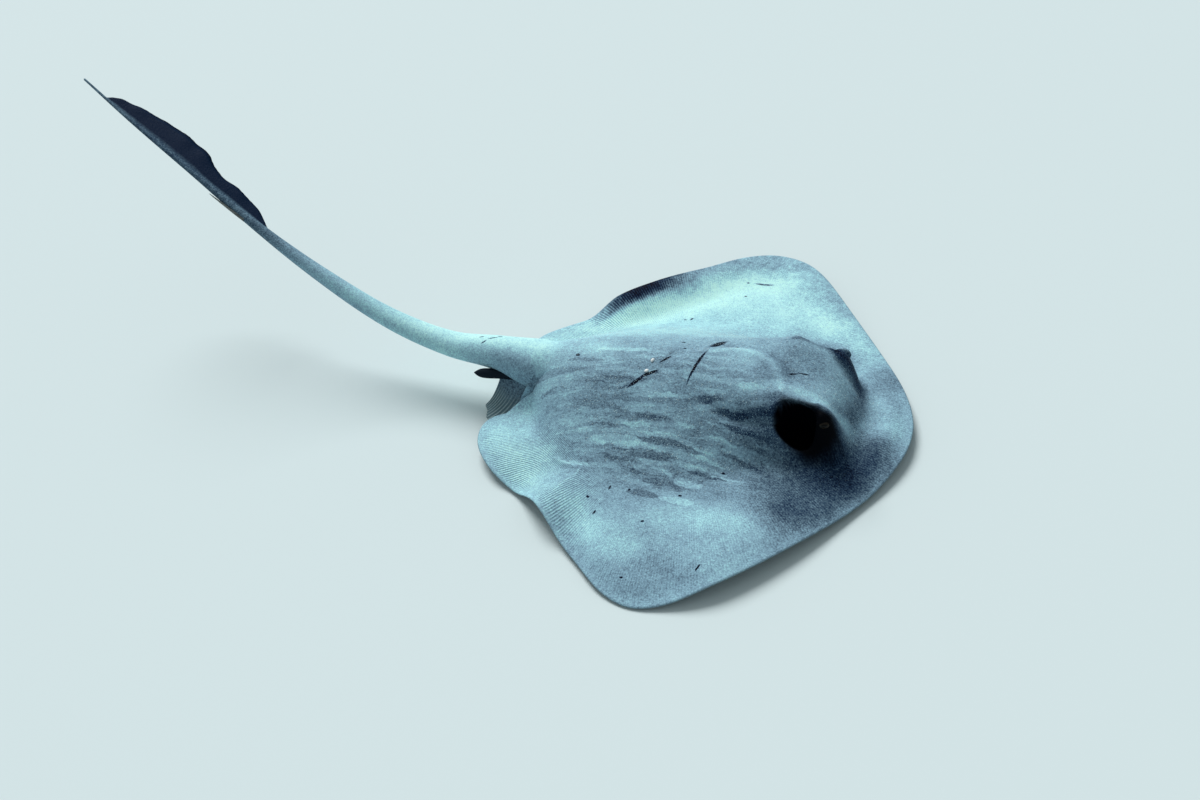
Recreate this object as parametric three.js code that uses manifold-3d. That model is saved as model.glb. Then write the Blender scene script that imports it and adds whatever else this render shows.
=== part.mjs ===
// A male cowtail stingray at life size, lying on a flat floor with its tail raised.
// Millimetres, +Z up, head towards +X, the animal's left side towards +Y.
// The origin is the middle of the flat patch that the belly rests on.
//
// The disc is a star of columns from the origin out to the fin margin, with a top and an underside,
// and the columns that end at the tail root carry on as the rings of the tail.
// That one closed body is then parted by thin cuts into head, trunk, wings and lengths of tail.
import * as THREE from "three";
import { mergeVertices } from "three/addons/utils/BufferGeometryUtils.js";
import Module from "manifold-3d";

const wasm = await Module();
wasm.setup();

// ---------------------------------------------------------------- driving dimensions
const GAP = 0.4; // width of the thin cuts, and clearance between touching pieces
const MARGIN_THICKNESS = 4; // of the fins at their edge
const WING_THICKNESS = 42; // added to that at the wing's root

// Half of the disc's outline, [x, distance from the midline], snout to the wing's insertion.
const HALF_OUTLINE = [
  [425, 0],
  [412, 76],
  [375, 160],
  [274, 313],
  [163, 445],
  [98, 488],
  [40, 500],
  [-18, 480],
  [-100, 412],
  [-235, 297],
  [-337, 236],
  [-390, 175],
  [-402, 125],
  [-390, 96],
  [-355, 73],
  [-310, 56],
];

// Height of the back on the midline, [x, height].
const BACK = [
  [425, 14],
  [375, 24],
  [338, 42],
  [323, 64],
  [310, 90],
  [296, 112],
  [278, 127],
  [252, 138],
  [190, 147],
  [100, 151],
  [0, 153],
  [-100, 152],
  [-200, 147],
  [-310, 140],
];

const HEAD_ROLL = 0.06; // the head is tipped to the right by this slope
const HEAD_ROUNDING = 0.0016; // how much the front of the head is rounded as seen from above

// How far the raised back spreads sideways, [x, spread, sharpness of its shoulder].
const SPREAD = [
  [425, 110, 2.5],
  [330, 114, 3.4],
  [290, 128, 6],
  [235, 143, 7],
  [185, 153, 5],
  [140, 168, 3.4],
  [80, 190, 2.3],
  [0, 212, 2],
  [-100, 210, 2],
  [-200, 180, 2],
  [-260, 132, 2],
  [-310, 76, 2],
];

// Height of the margin's underside above the floor, [x, lift], on each side. The right wing bends
// up gently, and the left wing's edge is also curled: CURL of its lift is in the outer quarter.
const CURL = 0.7;
const LIFT_RIGHT = [
  [425, 20],
  [360, 10],
  [262, 24],
  [170, 27],
  [90, 7],
  [30, 2],
  [-50, 8],
  [-130, 12],
  [-195, 44],
  [-270, 7],
  [-340, 20],
  [-402, 26],
];
const LIFT_LEFT = [
  [425, 20],
  [340, 12],
  [250, 22],
  [150, 34],
  [50, 36],
  [-80, 52],
  [-180, 68],
  [-250, 60],
  [-310, 18],
  [-350, 16],
  [-402, 26],
];

// The tail root, where the wings' inner margins meet the body. Within INNER_MARGIN_WIDTH of the
// midline these margins climb from the floor to the root.
const INNER_MARGIN_WIDTH = 125;
const ROOT = { x: -310, height: 90, halfWidth: 56, halfHeight: 50 };

// Centre line of the tail behind its root, and [share of its length, half width, half height].
const TAIL_PATH = [
  [-400, 16, 108],
  [-525, 37, 106],
  [-680, 73, 133],
  [-860, 124, 202],
  [-1020, 173, 283],
  [-1200, 233, 387],
  [-1360, 290, 477],
  [-1480, 335, 550],
];
const TAIL_GIRTH = [
  [0, 56, 50],
  [0.07, 38, 33],
  [0.166, 27.5, 24.5],
  [0.27, 22.5, 21],
  [0.41, 17.5, 16.5],
  [0.56, 13, 13],
  [0.71, 10, 10],
  [0.86, 6.6, 6.6],
  [1, 3, 3],
];
// The tail turns about its own line until its underside faces left, [share, degrees].
const TAIL_TWIST = [
  [0, 0],
  [0.18, 0],
  [0.5, 80],
  [1, 88],
];
const TAIL_CUTS = [-630, -940]; // x of the cuts between the tail's three lengths

// The fold under the tail: where it starts and ends, and [share of the fold, height].
const FOLD = { from: 0.56, to: 0.925, rootThickness: 4, edgeThickness: 1.4 };
const FOLD_HEIGHT = [
  [0, 0],
  [0.1, 25],
  [0.19, 34],
  [0.26, 38],
  [0.32, 35],
  [0.4, 42],
  [0.47, 58],
  [0.58, 61],
  [0.68, 59],
  [0.79, 50],
  [0.88, 38],
  [0.95, 26],
  [1, 6],
];
const STING = { from: 0.6, to: 0.678, halfWidth: 5, halfThickness: 2.2, rise: 3.5 };

// The head's own features, on the left; the right is its mirror image.
const EYE = { x: 290, side: 93, height: 111, radii: [15, 12, 11] };
const ORBIT = { x: 287, side: 87, length: 28, width: 23, height: 28 };
const SPIRACLE = { x: 231, side: 124, height: 97, radii: [36, 31, 36], turn: -0.2 };

// The pelvic fin under each wing's rear tip: corners of its root and of its free edge, left side.
const PELVIC = {
  rootFront: [-282, 58, 68],
  rootRear: [-396, 30, 88],
  edgeFront: [-352, 150, 10],
  edgeRear: [-436, 76, 20],
  rootThickness: 9,
  edgeThickness: 2,
};
const CLASPER = {
  from: [-358, 30, 66],
  to: [-446, 40, 82],
  rootRadius: 11,
  tipRadius: 8.5,
};

// How fine the mesh is. Columns and rings are crowded `more` times closer about the eyes.
const SIDE_COLUMNS = 42;
const COLUMN_CROWD = { at: 0.15, width: 0.1, more: 1.6 };
const ROOT_COLUMNS = 6;
const TOP_RINGS = 12;
const TOP_INNERMOST = 0.16; // the innermost ring's share of the way out
const TOP_CROWD = { at: 0.72, width: 0.16, more: 1.2 };
const UNDER_RINGS = 6;
const UNDER_INNERMOST = 0.32;
const TAIL_RINGS = 28;

// ---------------------------------------------------------------- small maths
const clamp01 = (t) => Math.min(1, Math.max(0, t));
const mix = (a, b, k) => a + (b - a) * k;
const softMax = (a, b, width) => 0.5 * (a + b + Math.hypot(a - b, width));
const bell = (t) => Math.exp(-t * t);

function smooth(t, from, to) {
  const k = clamp01((t - from) / (to - from));
  return k * k * (3 - 2 * k);
}

// count + 1 places from 0 to 1, closest together about `at`.
function crowded(count, { at, width, more }) {
  const steps = 500;
  const total = [0];
  for (let i = 0; i < steps; i++) {
    total.push(total[i] + 1 + more * bell(((i + 0.5) / steps - at) / width));
  }
  return Array.from({ length: count + 1 }, (_, n) => {
    const wanted = (total[steps] * n) / count;
    const i = Math.max(1, total.findIndex((sum) => sum >= wanted - 1e-9));
    return (i - 1 + (wanted - total[i - 1]) / (total[i] - total[i - 1])) / steps;
  });
}

// A smooth curve through rows of [position, value, ...], read at `at` in the given column.
function through(rows, at, column = 1) {
  const rising = rows[1][0] > rows[0][0];
  const order = rising ? rows : [...rows].reverse();
  const last = order.length - 1;
  const t = Math.min(order[last][0], Math.max(order[0][0], at));
  let i = 0;
  while (i < last - 1 && t > order[i + 1][0]) i++;
  const slope = (k) => {
    const a = order[Math.max(0, k - 1)];
    const b = order[Math.min(last, k + 1)];
    return (b[column] - a[column]) / (b[0] - a[0]);
  };
  const [p, q] = [order[i], order[i + 1]];
  const span = q[0] - p[0];
  const k = (t - p[0]) / span;
  const [k2, k3] = [k * k, k * k * k];
  return (
    p[column] * (2 * k3 - 3 * k2 + 1) +
    q[column] * (3 * k2 - 2 * k3) +
    span * (slope(i) * (k3 - 2 * k2 + k) + slope(i + 1) * (k3 - k2))
  );
}

// The body's sideways curve: the head is turned a little right and the tail root a little left.
const HEAD_SWAY = -22;
const ROOT_SWAY = 8;
const HEAD_SKEW = 0.045; // how far the right half of the head is ahead of the left
function sway(x) {
  return HEAD_SWAY * Math.pow(clamp01((x - 60) / 365), 1.5) + ROOT_SWAY * smooth(-x, 180, 310);
}
const place = (x, y) => [x - HEAD_SKEW * y * smooth(x, 60, 300), y + sway(x)];

// ---------------------------------------------------------------- the disc's surfaces
// The outline as columns, from the snout round the left side, the tail root and the right side.
function discColumns() {
  const side = new THREE.CatmullRomCurve3(
    HALF_OUTLINE.map(([x, y]) => new THREE.Vector3(x, y, 0)),
    false,
    "centripetal",
  );
  const insertion = HALF_OUTLINE[HALF_OUTLINE.length - 1];
  const places = crowded(SIDE_COLUMNS, COLUMN_CROWD);
  const marginColumn = (i, sign) => {
    const p = side.getPointAt(clamp01(places[i]));
    const rows = sign > 0 ? LIFT_LEFT : LIFT_RIGHT;
    const inner = p.x < insertion[0] + 1 ? smooth(-p.y, -INNER_MARGIN_WIDTH, -insertion[1]) : 0;
    const under = mix(through(rows, p.x), ROOT.height - MARGIN_THICKNESS / 2, inner);
    const curl = sign > 0 ? CURL * (1 - inner) : 0;
    return { x: p.x, y: sign * p.y, under, top: under + MARGIN_THICKNESS, curl, root: 0 };
  };
  const columns = [];
  for (let i = 0; i <= SIDE_COLUMNS; i++) columns.push(marginColumn(i, 1));
  for (let i = 1; i < ROOT_COLUMNS; i++) {
    const angle = (Math.PI * i) / ROOT_COLUMNS;
    const rise = ROOT.halfHeight * Math.sin(angle);
    columns.push({
      x: ROOT.x,
      y: ROOT.halfWidth * Math.cos(angle),
      under: ROOT.height - MARGIN_THICKNESS / 2 - rise,
      top: ROOT.height + MARGIN_THICKNESS / 2 + rise,
      curl: 0,
      root: Math.sin(angle),
    });
  }
  for (let i = SIDE_COLUMNS; i > 0; i--) columns.push(marginColumn(i, -1));
  return columns;
}

// Underside of the disc at a share of the way out along a column: flat, a slight arch, the margin.
function underside(column, share) {
  const arch = 8 * Math.pow(Math.sin(Math.PI * clamp01((share - 0.32) / 0.68)), 2);
  const bend = Math.pow(smooth(share, 0.45, 1), 1.25);
  const curl = smooth(share, 0.74, 1);
  return arch * (1 - column.root) + column.under * mix(bend, curl, column.curl);
}

// Height of the raised back and head at a place on the disc, before the wings are blended in.
function backHeight(x, y) {
  const roundedX = x + HEAD_ROUNDING * y * y;
  const shoulder = Math.pow(Math.abs(y) / through(SPREAD, x), through(SPREAD, x, 2));
  const orbit =
    ORBIT.height * bell((x - ORBIT.x) / ORBIT.length) * bell((Math.abs(y) - ORBIT.side) / ORBIT.width);
  const roll = HEAD_ROLL * y * smooth(x, 60, 200);
  return (through(BACK, roundedX) + roll) * Math.exp(-shoulder) + orbit;
}

function topside(column, share, x, y) {
  const wing =
    underside(column, share) + MARGIN_THICKNESS + WING_THICKNESS * Math.pow(1 - share * share, 1.1);
  const fade = 1 - smooth(share, 0.9, 1);
  const general = softMax(wing, backHeight(x, y) * fade, 14 * fade);
  const atRoot = softMax(wing, backHeight(x, y), 14);
  return mix(general, mix(atRoot, column.top, smooth(share, 0.6, 1)), column.root > 0 ? 1 : 0);
}

// ---------------------------------------------------------------- the tail's frame
const tailCurve = new THREE.CatmullRomCurve3(
  [[ROOT.x, sway(ROOT.x), ROOT.height], ...TAIL_PATH].map((p) => new THREE.Vector3(...p)),
  false,
  "centripetal",
);

// Centre, direction, back and left side of the tail at a share of its length.
function tailFrame(share) {
  const along = share < 1e-6 ? new THREE.Vector3(-1, 0, 0) : tailCurve.getTangentAt(share);
  const left = new THREE.Vector3().crossVectors(along, new THREE.Vector3(0, 0, 1)).normalize();
  const back = new THREE.Vector3().crossVectors(left, along);
  const twist = THREE.MathUtils.degToRad(through(TAIL_TWIST, share));
  return {
    centre: tailCurve.getPointAt(share),
    along,
    back: back.clone().multiplyScalar(Math.cos(twist)).addScaledVector(left, -Math.sin(twist)),
    left: left.clone().multiplyScalar(Math.cos(twist)).addScaledVector(back, Math.sin(twist)),
    halfWidth: through(TAIL_GIRTH, share),
    halfHeight: through(TAIL_GIRTH, share, 2),
  };
}

// A point on the tail's frame: so much to the left, so much towards its back.
const offTail = (frame, left, back) =>
  frame.centre.clone().addScaledVector(frame.left, left).addScaledVector(frame.back, back);

// ---------------------------------------------------------------- meshes and solids
class MeshBuilder {
  constructor() {
    this.points = [];
    this.faces = [];
  }
  point(x, y, z) {
    this.points.push(x, y, z);
    return this.points.length / 3 - 1;
  }
  vector(v) {
    return this.point(v.x, v.y, v.z);
  }
  // A quad is split along its more level diagonal, so that steep places keep clean edges.
  quad(a, b, c, d) {
    const height = (k) => this.points[3 * k + 2];
    const level = Math.abs(height(a) - height(c)) <= Math.abs(height(b) - height(d));
    if (level) this.faces.push(a, b, c, a, c, d);
    else this.faces.push(a, b, d, b, c, d);
  }
  triangle(a, b, c) {
    this.faces.push(a, b, c);
  }
  solid() {
    const geometry = new THREE.BufferGeometry();
    geometry.setAttribute("position", new THREE.Float32BufferAttribute(this.points, 3));
    geometry.setIndex(this.faces);
    return solidFrom(geometry);
  }
}

function solidFrom(geometry) {
  const bare = geometry.clone();
  bare.deleteAttribute("normal");
  bare.deleteAttribute("uv");
  const merged = mergeVertices(bare, 1e-3);
  return new wasm.Manifold(
    new wasm.Mesh({
      numProp: 3,
      vertProperties: merged.attributes.position.array,
      triVerts: new Uint32Array(merged.index.array),
    }),
  );
}

function geometryFrom(solid) {
  const mesh = solid.getMesh();
  const geometry = new THREE.BufferGeometry();
  const positions = new Float32Array(mesh.numVert * 3);
  for (let i = 0; i < mesh.numVert; i++) {
    positions.set(mesh.vertProperties.subarray(i * mesh.numProp, i * mesh.numProp + 3), i * 3);
  }
  geometry.setAttribute("position", new THREE.BufferAttribute(positions, 3));
  geometry.setIndex(new THREE.BufferAttribute(new Uint32Array(mesh.triVerts), 1));
  geometry.computeVertexNormals();
  return geometry;
}

// The whole flesh of the disc and tail as one closed body, swollen by `grow` on every side.
function wholeBody(grow = 0) {
  const mesh = new MeshBuilder();
  const columns = discColumns();
  const count = columns.length;
  const layer = (shares, innermost, heightAt) => {
    const grid = [];
    for (const place01 of shares) {
      const share = mix(innermost, 1, clamp01(place01));
      grid.push(
        columns.map((column) => {
          const outward = 1 + (column.root ? 0 : grow / Math.hypot(column.x, column.y));
          const [x, y] = [column.x * share, column.y * share];
          const z = heightAt(column, share, x, y);
          return mesh.point(...place(x * outward, y * outward), z);
        }),
      );
    }
    return grid;
  };
  const topShares = crowded(TOP_RINGS - 1, TOP_CROWD);
  const underShares = crowded(UNDER_RINGS - 1, { at: 0, width: 1, more: 0 });
  const top = layer(topShares, TOP_INNERMOST, (c, share, x, y) => topside(c, share, x, y) + grow);
  const under = layer(underShares, UNDER_INNERMOST, (c, share) => underside(c, share) - grow);
  const topCentre = mesh.point(0, 0, topside(columns[0], 0, 0, 0) + grow);
  const underCentre = mesh.point(0, 0, -grow);

  const next = (k) => (k + 1) % count;
  for (let k = 0; k < count; k++) {
    mesh.triangle(topCentre, top[0][k], top[0][next(k)]);
    mesh.triangle(underCentre, under[0][next(k)], under[0][k]);
    for (let j = 0; j < TOP_RINGS - 1; j++) {
      mesh.quad(top[j][k], top[j + 1][k], top[j + 1][next(k)], top[j][next(k)]);
    }
    for (let j = 0; j < UNDER_RINGS - 1; j++) {
      mesh.quad(under[j][k], under[j][next(k)], under[j + 1][next(k)], under[j + 1][k]);
    }
  }

  // The margin's edge all round, apart from the columns that run on into the tail.
  const [rootFrom, rootTo] = [SIDE_COLUMNS, SIDE_COLUMNS + ROOT_COLUMNS];
  const [rimTop, rimUnder] = [top[TOP_RINGS - 1], under[UNDER_RINGS - 1]];
  for (let k = 0; k < count; k++) {
    if (k >= rootFrom && k < rootTo) continue;
    mesh.quad(rimTop[k], rimUnder[k], rimUnder[next(k)], rimTop[next(k)]);
  }

  // The tail's rings follow the root columns over the top and back underneath.
  const rootColumns = Array.from({ length: ROOT_COLUMNS + 1 }, (_, i) => rootFrom + i);
  let ring = [...rootColumns.map((k) => rimTop[k]), ...rootColumns.map((k) => rimUnder[k]).reverse()];
  const angles = rootColumns.map((_, i) => (Math.PI * i) / ROOT_COLUMNS);
  const around = [...angles.map((a) => [a, 1]), ...angles.map((a) => [a, -1]).reverse()];
  for (let i = 1; i <= TAIL_RINGS; i++) {
    const frame = tailFrame(i / TAIL_RINGS);
    const seam = (MARGIN_THICKNESS / 2) * (frame.halfHeight / ROOT.halfHeight);
    const following = around.map(([angle, face]) => {
      const left = (frame.halfWidth + grow) * Math.cos(angle);
      const back = face * ((frame.halfHeight + grow) * Math.sin(angle) + seam);
      return mesh.vector(offTail(frame, left, back));
    });
    ring.forEach((_, m) => {
      const n = (m + 1) % ring.length;
      mesh.quad(ring[m], following[m], following[n], ring[n]);
    });
    ring = following;
  }
  const tip = tailFrame(1);
  const tipPoint = mesh.vector(tip.centre.clone().addScaledVector(tip.along, 3 + grow));
  ring.forEach((p, m) => mesh.triangle(p, tipPoint, ring[(m + 1) % ring.length]));
  return mesh.solid();
}

// A tall upright prism over a closed outline in plan, used as a cutter.
function prism(outline) {
  const shape = new THREE.Shape(outline.map(([x, y]) => new THREE.Vector2(x, y)));
  const geometry = new THREE.ExtrudeGeometry(shape, { depth: 900, bevelEnabled: false });
  return solidFrom(geometry.translate(0, 0, -100));
}

// The plan of head and trunk between the wings, `grow` wider on each side.
const CORE_HALF_WIDTH = [
  [470, 92],
  [330, 142],
  [150, 168],
  [0, 176],
  [-150, 152],
  [-250, 100],
  [-316, 60],
];
function corePrism(grow = 0) {
  const right = [];
  const left = [];
  for (let x = 470; x > -316; x -= 26) {
    const half = through(CORE_HALF_WIDTH, x) + grow;
    right.push([x, sway(x) - half]);
    left.unshift([x, sway(x) + half]);
  }
  const end = -316 - grow;
  const half = through(CORE_HALF_WIDTH, -316) + grow;
  return prism([...right, [end, sway(end) - half], [end, sway(end) + half], ...left]);
}

// The half of a solid on the side of x = at that lies towards the head (1) or the tail (-1).
const headward = (solid, at) => solid.trimByPlane([1, 0, 0], at);
const tailward = (solid, at) => solid.trimByPlane([-1, 0, 0], -at);

// An ellipsoid, turned about the vertical by `turn`.
function ellipsoid(centre, radii, turn = 0) {
  const geometry = new THREE.SphereGeometry(1, 14, 9);
  geometry.scale(...radii);
  geometry.rotateZ(turn);
  geometry.translate(...centre);
  return solidFrom(geometry);
}

// ---------------------------------------------------------------- pieces beside the main body
// A feature given on the left side, placed on either side of the swaying midline.
const onSide = (sign, [x, y, z]) => [...place(x, sign * y), z];

// A closed plate between two grids of points that meet along their rim.
function plate(front, rear) {
  const mesh = new MeshBuilder();
  const index = (grid) => grid.map((row) => row.map((v) => mesh.vector(v)));
  const [a, b] = [index(front), index(rear)];
  const [rows, across] = [a.length - 1, a[0].length - 1];
  for (let i = 0; i < rows; i++) {
    for (let j = 0; j < across; j++) {
      mesh.quad(a[i][j], a[i + 1][j], a[i + 1][j + 1], a[i][j + 1]);
      mesh.quad(b[i][j], b[i][j + 1], b[i + 1][j + 1], b[i + 1][j]);
    }
    mesh.quad(a[i][0], b[i][0], b[i + 1][0], a[i + 1][0]);
    mesh.quad(a[i][across], a[i + 1][across], b[i + 1][across], b[i][across]);
  }
  for (let j = 0; j < across; j++) {
    mesh.quad(a[0][j], a[0][j + 1], b[0][j + 1], b[0][j]);
    mesh.quad(a[rows][j], b[rows][j], b[rows][j + 1], a[rows][j + 1]);
  }
  const solid = mesh.solid();
  return solid.volume() > 0 ? solid : flipped(mesh);
}

function flipped(mesh) {
  for (let i = 0; i < mesh.faces.length; i += 3) {
    [mesh.faces[i + 1], mesh.faces[i + 2]] = [mesh.faces[i + 2], mesh.faces[i + 1]];
  }
  return mesh.solid();
}

// The leaf-shaped pelvic fin: from its root it hangs outwards and down, under the wing's tip.
function pelvicFin(sign) {
  const corner = (name) => new THREE.Vector3(...onSide(sign, PELVIC[name]));
  const [rootFront, rootRear] = [corner("rootFront"), corner("rootRear")];
  const [edgeFront, edgeRear] = [corner("edgeFront"), corner("edgeRear")];
  const [rows, across] = [7, 6];
  const faces = [[], []];
  for (let i = 0; i <= rows; i++) {
    const [upper, lower] = [[], []];
    for (let j = 0; j <= across; j++) {
      const out = i / rows;
      const rearward = j / across;
      const rounding = 1 - 0.16 * Math.pow(Math.abs(2 * rearward - 1), 3);
      const reach = out * rounding;
      const root = rootFront.clone().lerp(rootRear, rearward);
      const p = root.lerp(edgeFront.clone().lerp(edgeRear, rearward), reach);
      p.z += 14 * Math.sin(Math.PI * reach) * (1 - 0.4 * rearward);
      const half = 0.5 * mix(PELVIC.rootThickness, PELVIC.edgeThickness, out);
      upper.push(p.clone().add(new THREE.Vector3(0, sign * 0.5 * half, half)));
      lower.push(p.clone().sub(new THREE.Vector3(0, sign * 0.5 * half, half)));
    }
    faces[0].push(upper);
    faces[1].push(lower);
  }
  return plate(...faces);
}

// The rod-like clasper on the inner edge of each pelvic fin, blunt at its tip.
function clasper(sign, grow = 0) {
  const from = new THREE.Vector3(...onSide(sign, CLASPER.from));
  const to = new THREE.Vector3(...onSide(sign, CLASPER.to));
  const length = from.distanceTo(to);
  const [root, tip] = [CLASPER.rootRadius + grow, CLASPER.tipRadius + grow];
  const profile = [new THREE.Vector2(0, -grow), new THREE.Vector2(root, -grow)];
  profile.push(new THREE.Vector2(tip, length - tip));
  for (let i = 1; i < 4; i++) {
    const a = (Math.PI / 2) * (i / 4);
    profile.push(new THREE.Vector2(tip * Math.cos(a), length - tip + tip * Math.sin(a)));
  }
  profile.push(new THREE.Vector2(0, length));
  const geometry = new THREE.LatheGeometry(profile, 14);
  const turn = new THREE.Quaternion().setFromUnitVectors(
    new THREE.Vector3(0, 1, 0),
    to.clone().sub(from).normalize(),
  );
  geometry.applyQuaternion(turn).translate(from.x, from.y, from.z);
  return solidFrom(geometry);
}

// The thin fold along the underside of the tail's rear half.
function tailFold() {
  const [rows, across] = [22, 2];
  const faces = [[], []];
  for (let i = 0; i <= rows; i++) {
    const along = i / rows;
    const frame = tailFrame(mix(FOLD.from, FOLD.to, along));
    const height = Math.max(0.6, through(FOLD_HEIGHT, along));
    const [oneFace, otherFace] = [[], []];
    for (let j = 0; j <= across; j++) {
      const out = j / across;
      const thickness = mix(FOLD.rootThickness, FOLD.edgeThickness, out);
      const depth = -mix(frame.halfHeight * 0.6, frame.halfHeight + height, out);
      oneFace.push(offTail(frame, thickness / 2, depth));
      otherFace.push(offTail(frame, -thickness / 2, depth));
    }
    faces[0].push(oneFace);
    faces[1].push(otherFace);
  }
  return plate(...faces);
}

// The flat barbed spine lying on the tail's back, joined at its base and free at its point.
function sting() {
  const [rows, across] = [14, 2];
  const faces = [[], []];
  for (let i = 0; i <= rows; i++) {
    const along = i / rows;
    const frame = tailFrame(mix(STING.from, STING.to, along));
    const taper = Math.pow(1 - along, 0.55) + 0.04;
    const barb = i % 2 && i < rows - 1 ? 1.12 : 0.95;
    const centre = frame.halfHeight + mix(-1.2, STING.rise + STING.halfThickness, along);
    const [upper, lower] = [[], []];
    for (let j = 0; j <= across; j++) {
      const side = (2 * j) / across - 1;
      const half = STING.halfThickness * taper * (1 - 0.7 * Math.abs(side));
      const left = side * STING.halfWidth * taper * barb;
      upper.push(offTail(frame, left, centre + half));
      lower.push(offTail(frame, left, centre - half));
    }
    faces[0].push(upper);
    faces[1].push(lower);
  }
  return plate(...faces);
}

// ---------------------------------------------------------------- materials
const skin = (name, colour, roughness) =>
  new THREE.MeshStandardMaterial({ name, color: colour, roughness, metalness: 0 });
const BACK_SKIN = skin("back_skin", 0x6f8795, 0.62);
const WING_SKIN = skin("wing_skin", 0x7f98a5, 0.6);
const TAIL_SKIN = skin("tail_skin", 0x8ba5b1, 0.58);
const FOLD_SKIN = skin("fold_skin", 0x232f42, 0.5);
const CLASPER_SKIN = skin("clasper_skin", 0x2c3440, 0.5);
const EYE_SURFACE = skin("eye", 0x0b0d10, 0.12);
const STING_BONE = skin("sting_bone", 0x4b4f52, 0.45);

// ---------------------------------------------------------------- assembly
const ray = new THREE.Group();
ray.name = "cowtail_stingray";

function add(name, solid, material) {
  const mesh = new THREE.Mesh(geometryFrom(solid), material);
  mesh.name = name;
  ray.add(mesh);
}

const body = wholeBody();
const swollenBody = wholeBody(GAP);
const sideways = (solid) => {
  const box = solid.boundingBox();
  return box.min[1] + box.max[1];
};

// Wings and tail are what is left outside the core, and head and trunk are what is inside it.
const outside = body
  .subtract(corePrism(GAP))
  .decompose()
  .sort((a, b) => sideways(a) - sideways(b));
const [rightWing, tail, leftWing] = [outside[0], outside[1], outside[2]];
const core = body.intersect(corePrism());
const HEAD_CUT = 150;

let head = headward(core, HEAD_CUT);
for (const [sign, side] of [
  [1, "left"],
  [-1, "right"],
]) {
  const socket = EYE.radii.map((r) => r + GAP);
  const eyeCentre = onSide(sign, [EYE.x, EYE.side, EYE.height]);
  const spiracleCentre = onSide(sign, [SPIRACLE.x, SPIRACLE.side, SPIRACLE.height]);
  head = head
    .subtract(ellipsoid(spiracleCentre, SPIRACLE.radii, sign * SPIRACLE.turn))
    .subtract(ellipsoid(eyeCentre, socket));
  add(`eye_${side}`, ellipsoid(eyeCentre, EYE.radii), EYE_SURFACE);
  const fin = pelvicFin(sign).subtract(swollenBody).subtract(clasper(sign, GAP));
  const biggest = (solid) => solid.decompose().sort((a, b) => b.volume() - a.volume())[0];
  add(`pelvic_fin_${side}`, biggest(fin), BACK_SKIN);
  add(`clasper_${side}`, biggest(clasper(sign).subtract(swollenBody)), CLASPER_SKIN);
}
add("head", head, BACK_SKIN);
add("trunk", tailward(core, HEAD_CUT - GAP), BACK_SKIN);
add("wing_left", leftWing, WING_SKIN);
add("wing_right", rightWing, WING_SKIN);

const [baseCut, endCut] = TAIL_CUTS;
add("tail_base", headward(tail, baseCut), TAIL_SKIN);
add("tail_middle", headward(tailward(tail, baseCut - GAP), endCut), TAIL_SKIN);
add("tail_end", tailward(tail, endCut - GAP), TAIL_SKIN);
add("tail_fold", tailFold().subtract(swollenBody), FOLD_SKIN);
add("sting", sting().subtract(swollenBody), STING_BONE);

export default ray;
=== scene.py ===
"""A male cowtail stingray at life size, resting on its belly with its tail raised.

One skin covers disc, pelvic fins, claspers and tail. The eyes, the barbed sting, two enlarged
pearl thorns and the fine denticles of the back are pieces of their own.
Sizes in the tables are millimetres in the animal's own frame: head towards +X, left side towards
+Y, floor at zero. They become metres where a mesh is made.
"""

import math

import bpy
import numpy as np
from mathutils import Matrix, Vector


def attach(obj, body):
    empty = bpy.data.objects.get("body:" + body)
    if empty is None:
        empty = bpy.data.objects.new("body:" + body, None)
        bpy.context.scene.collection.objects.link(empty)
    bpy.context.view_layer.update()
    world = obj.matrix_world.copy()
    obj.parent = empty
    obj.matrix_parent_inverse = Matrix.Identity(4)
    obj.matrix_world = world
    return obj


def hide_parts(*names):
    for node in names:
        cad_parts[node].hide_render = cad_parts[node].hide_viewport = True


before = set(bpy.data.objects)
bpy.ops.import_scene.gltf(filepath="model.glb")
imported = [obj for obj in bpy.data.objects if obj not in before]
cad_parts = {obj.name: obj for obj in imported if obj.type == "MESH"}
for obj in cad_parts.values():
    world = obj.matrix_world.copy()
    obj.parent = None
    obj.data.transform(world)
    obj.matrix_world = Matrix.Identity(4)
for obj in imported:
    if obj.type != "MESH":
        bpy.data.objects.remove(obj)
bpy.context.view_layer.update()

MM = 0.001
SEED = 7

# ---------------------------------------------------------------- the body's driving sizes
MARGIN_THICKNESS = 4
MARGIN_ROUNDING = 1.6
WING_THICKNESS = 42
# The belly arches a little off the floor, from this share of the way out to the margin.
ARCH_HEIGHT = 8
ARCH_FROM = 0.32

# Where the tail begins: how far back and to the left, the height of its middle, its half sizes.
ROOT_X, ROOT_SWAY, ROOT_HEIGHT = -310, 8, 90
ROOT_HALF_WIDTH, ROOT_HALF_HEIGHT = 56, 50
# The left margin from the tip of the snout to the tail's root. The right one mirrors it.
HALF_OUTLINE = [
    (425, 0), (424, 24), (412, 76), (375, 160), (274, 313), (163, 445), (98, 488), (40, 500), (-18, 480),
    (-100, 412), (-235, 297), (-337, 236), (-390, 175), (-402, 125), (-390, 96), (-355, 73),
    (ROOT_X, ROOT_HALF_WIDTH),
]  # fmt: skip
# The height of the back along its middle.
BACK = [
    (425, 14), (375, 24), (338, 42), (323, 64), (310, 90), (296, 112), (278, 127), (252, 138),
    (190, 147), (100, 151), (0, 153), (-100, 152), (-200, 147),
    (ROOT_X, ROOT_HEIGHT + ROOT_HALF_HEIGHT),
]  # fmt: skip
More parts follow.
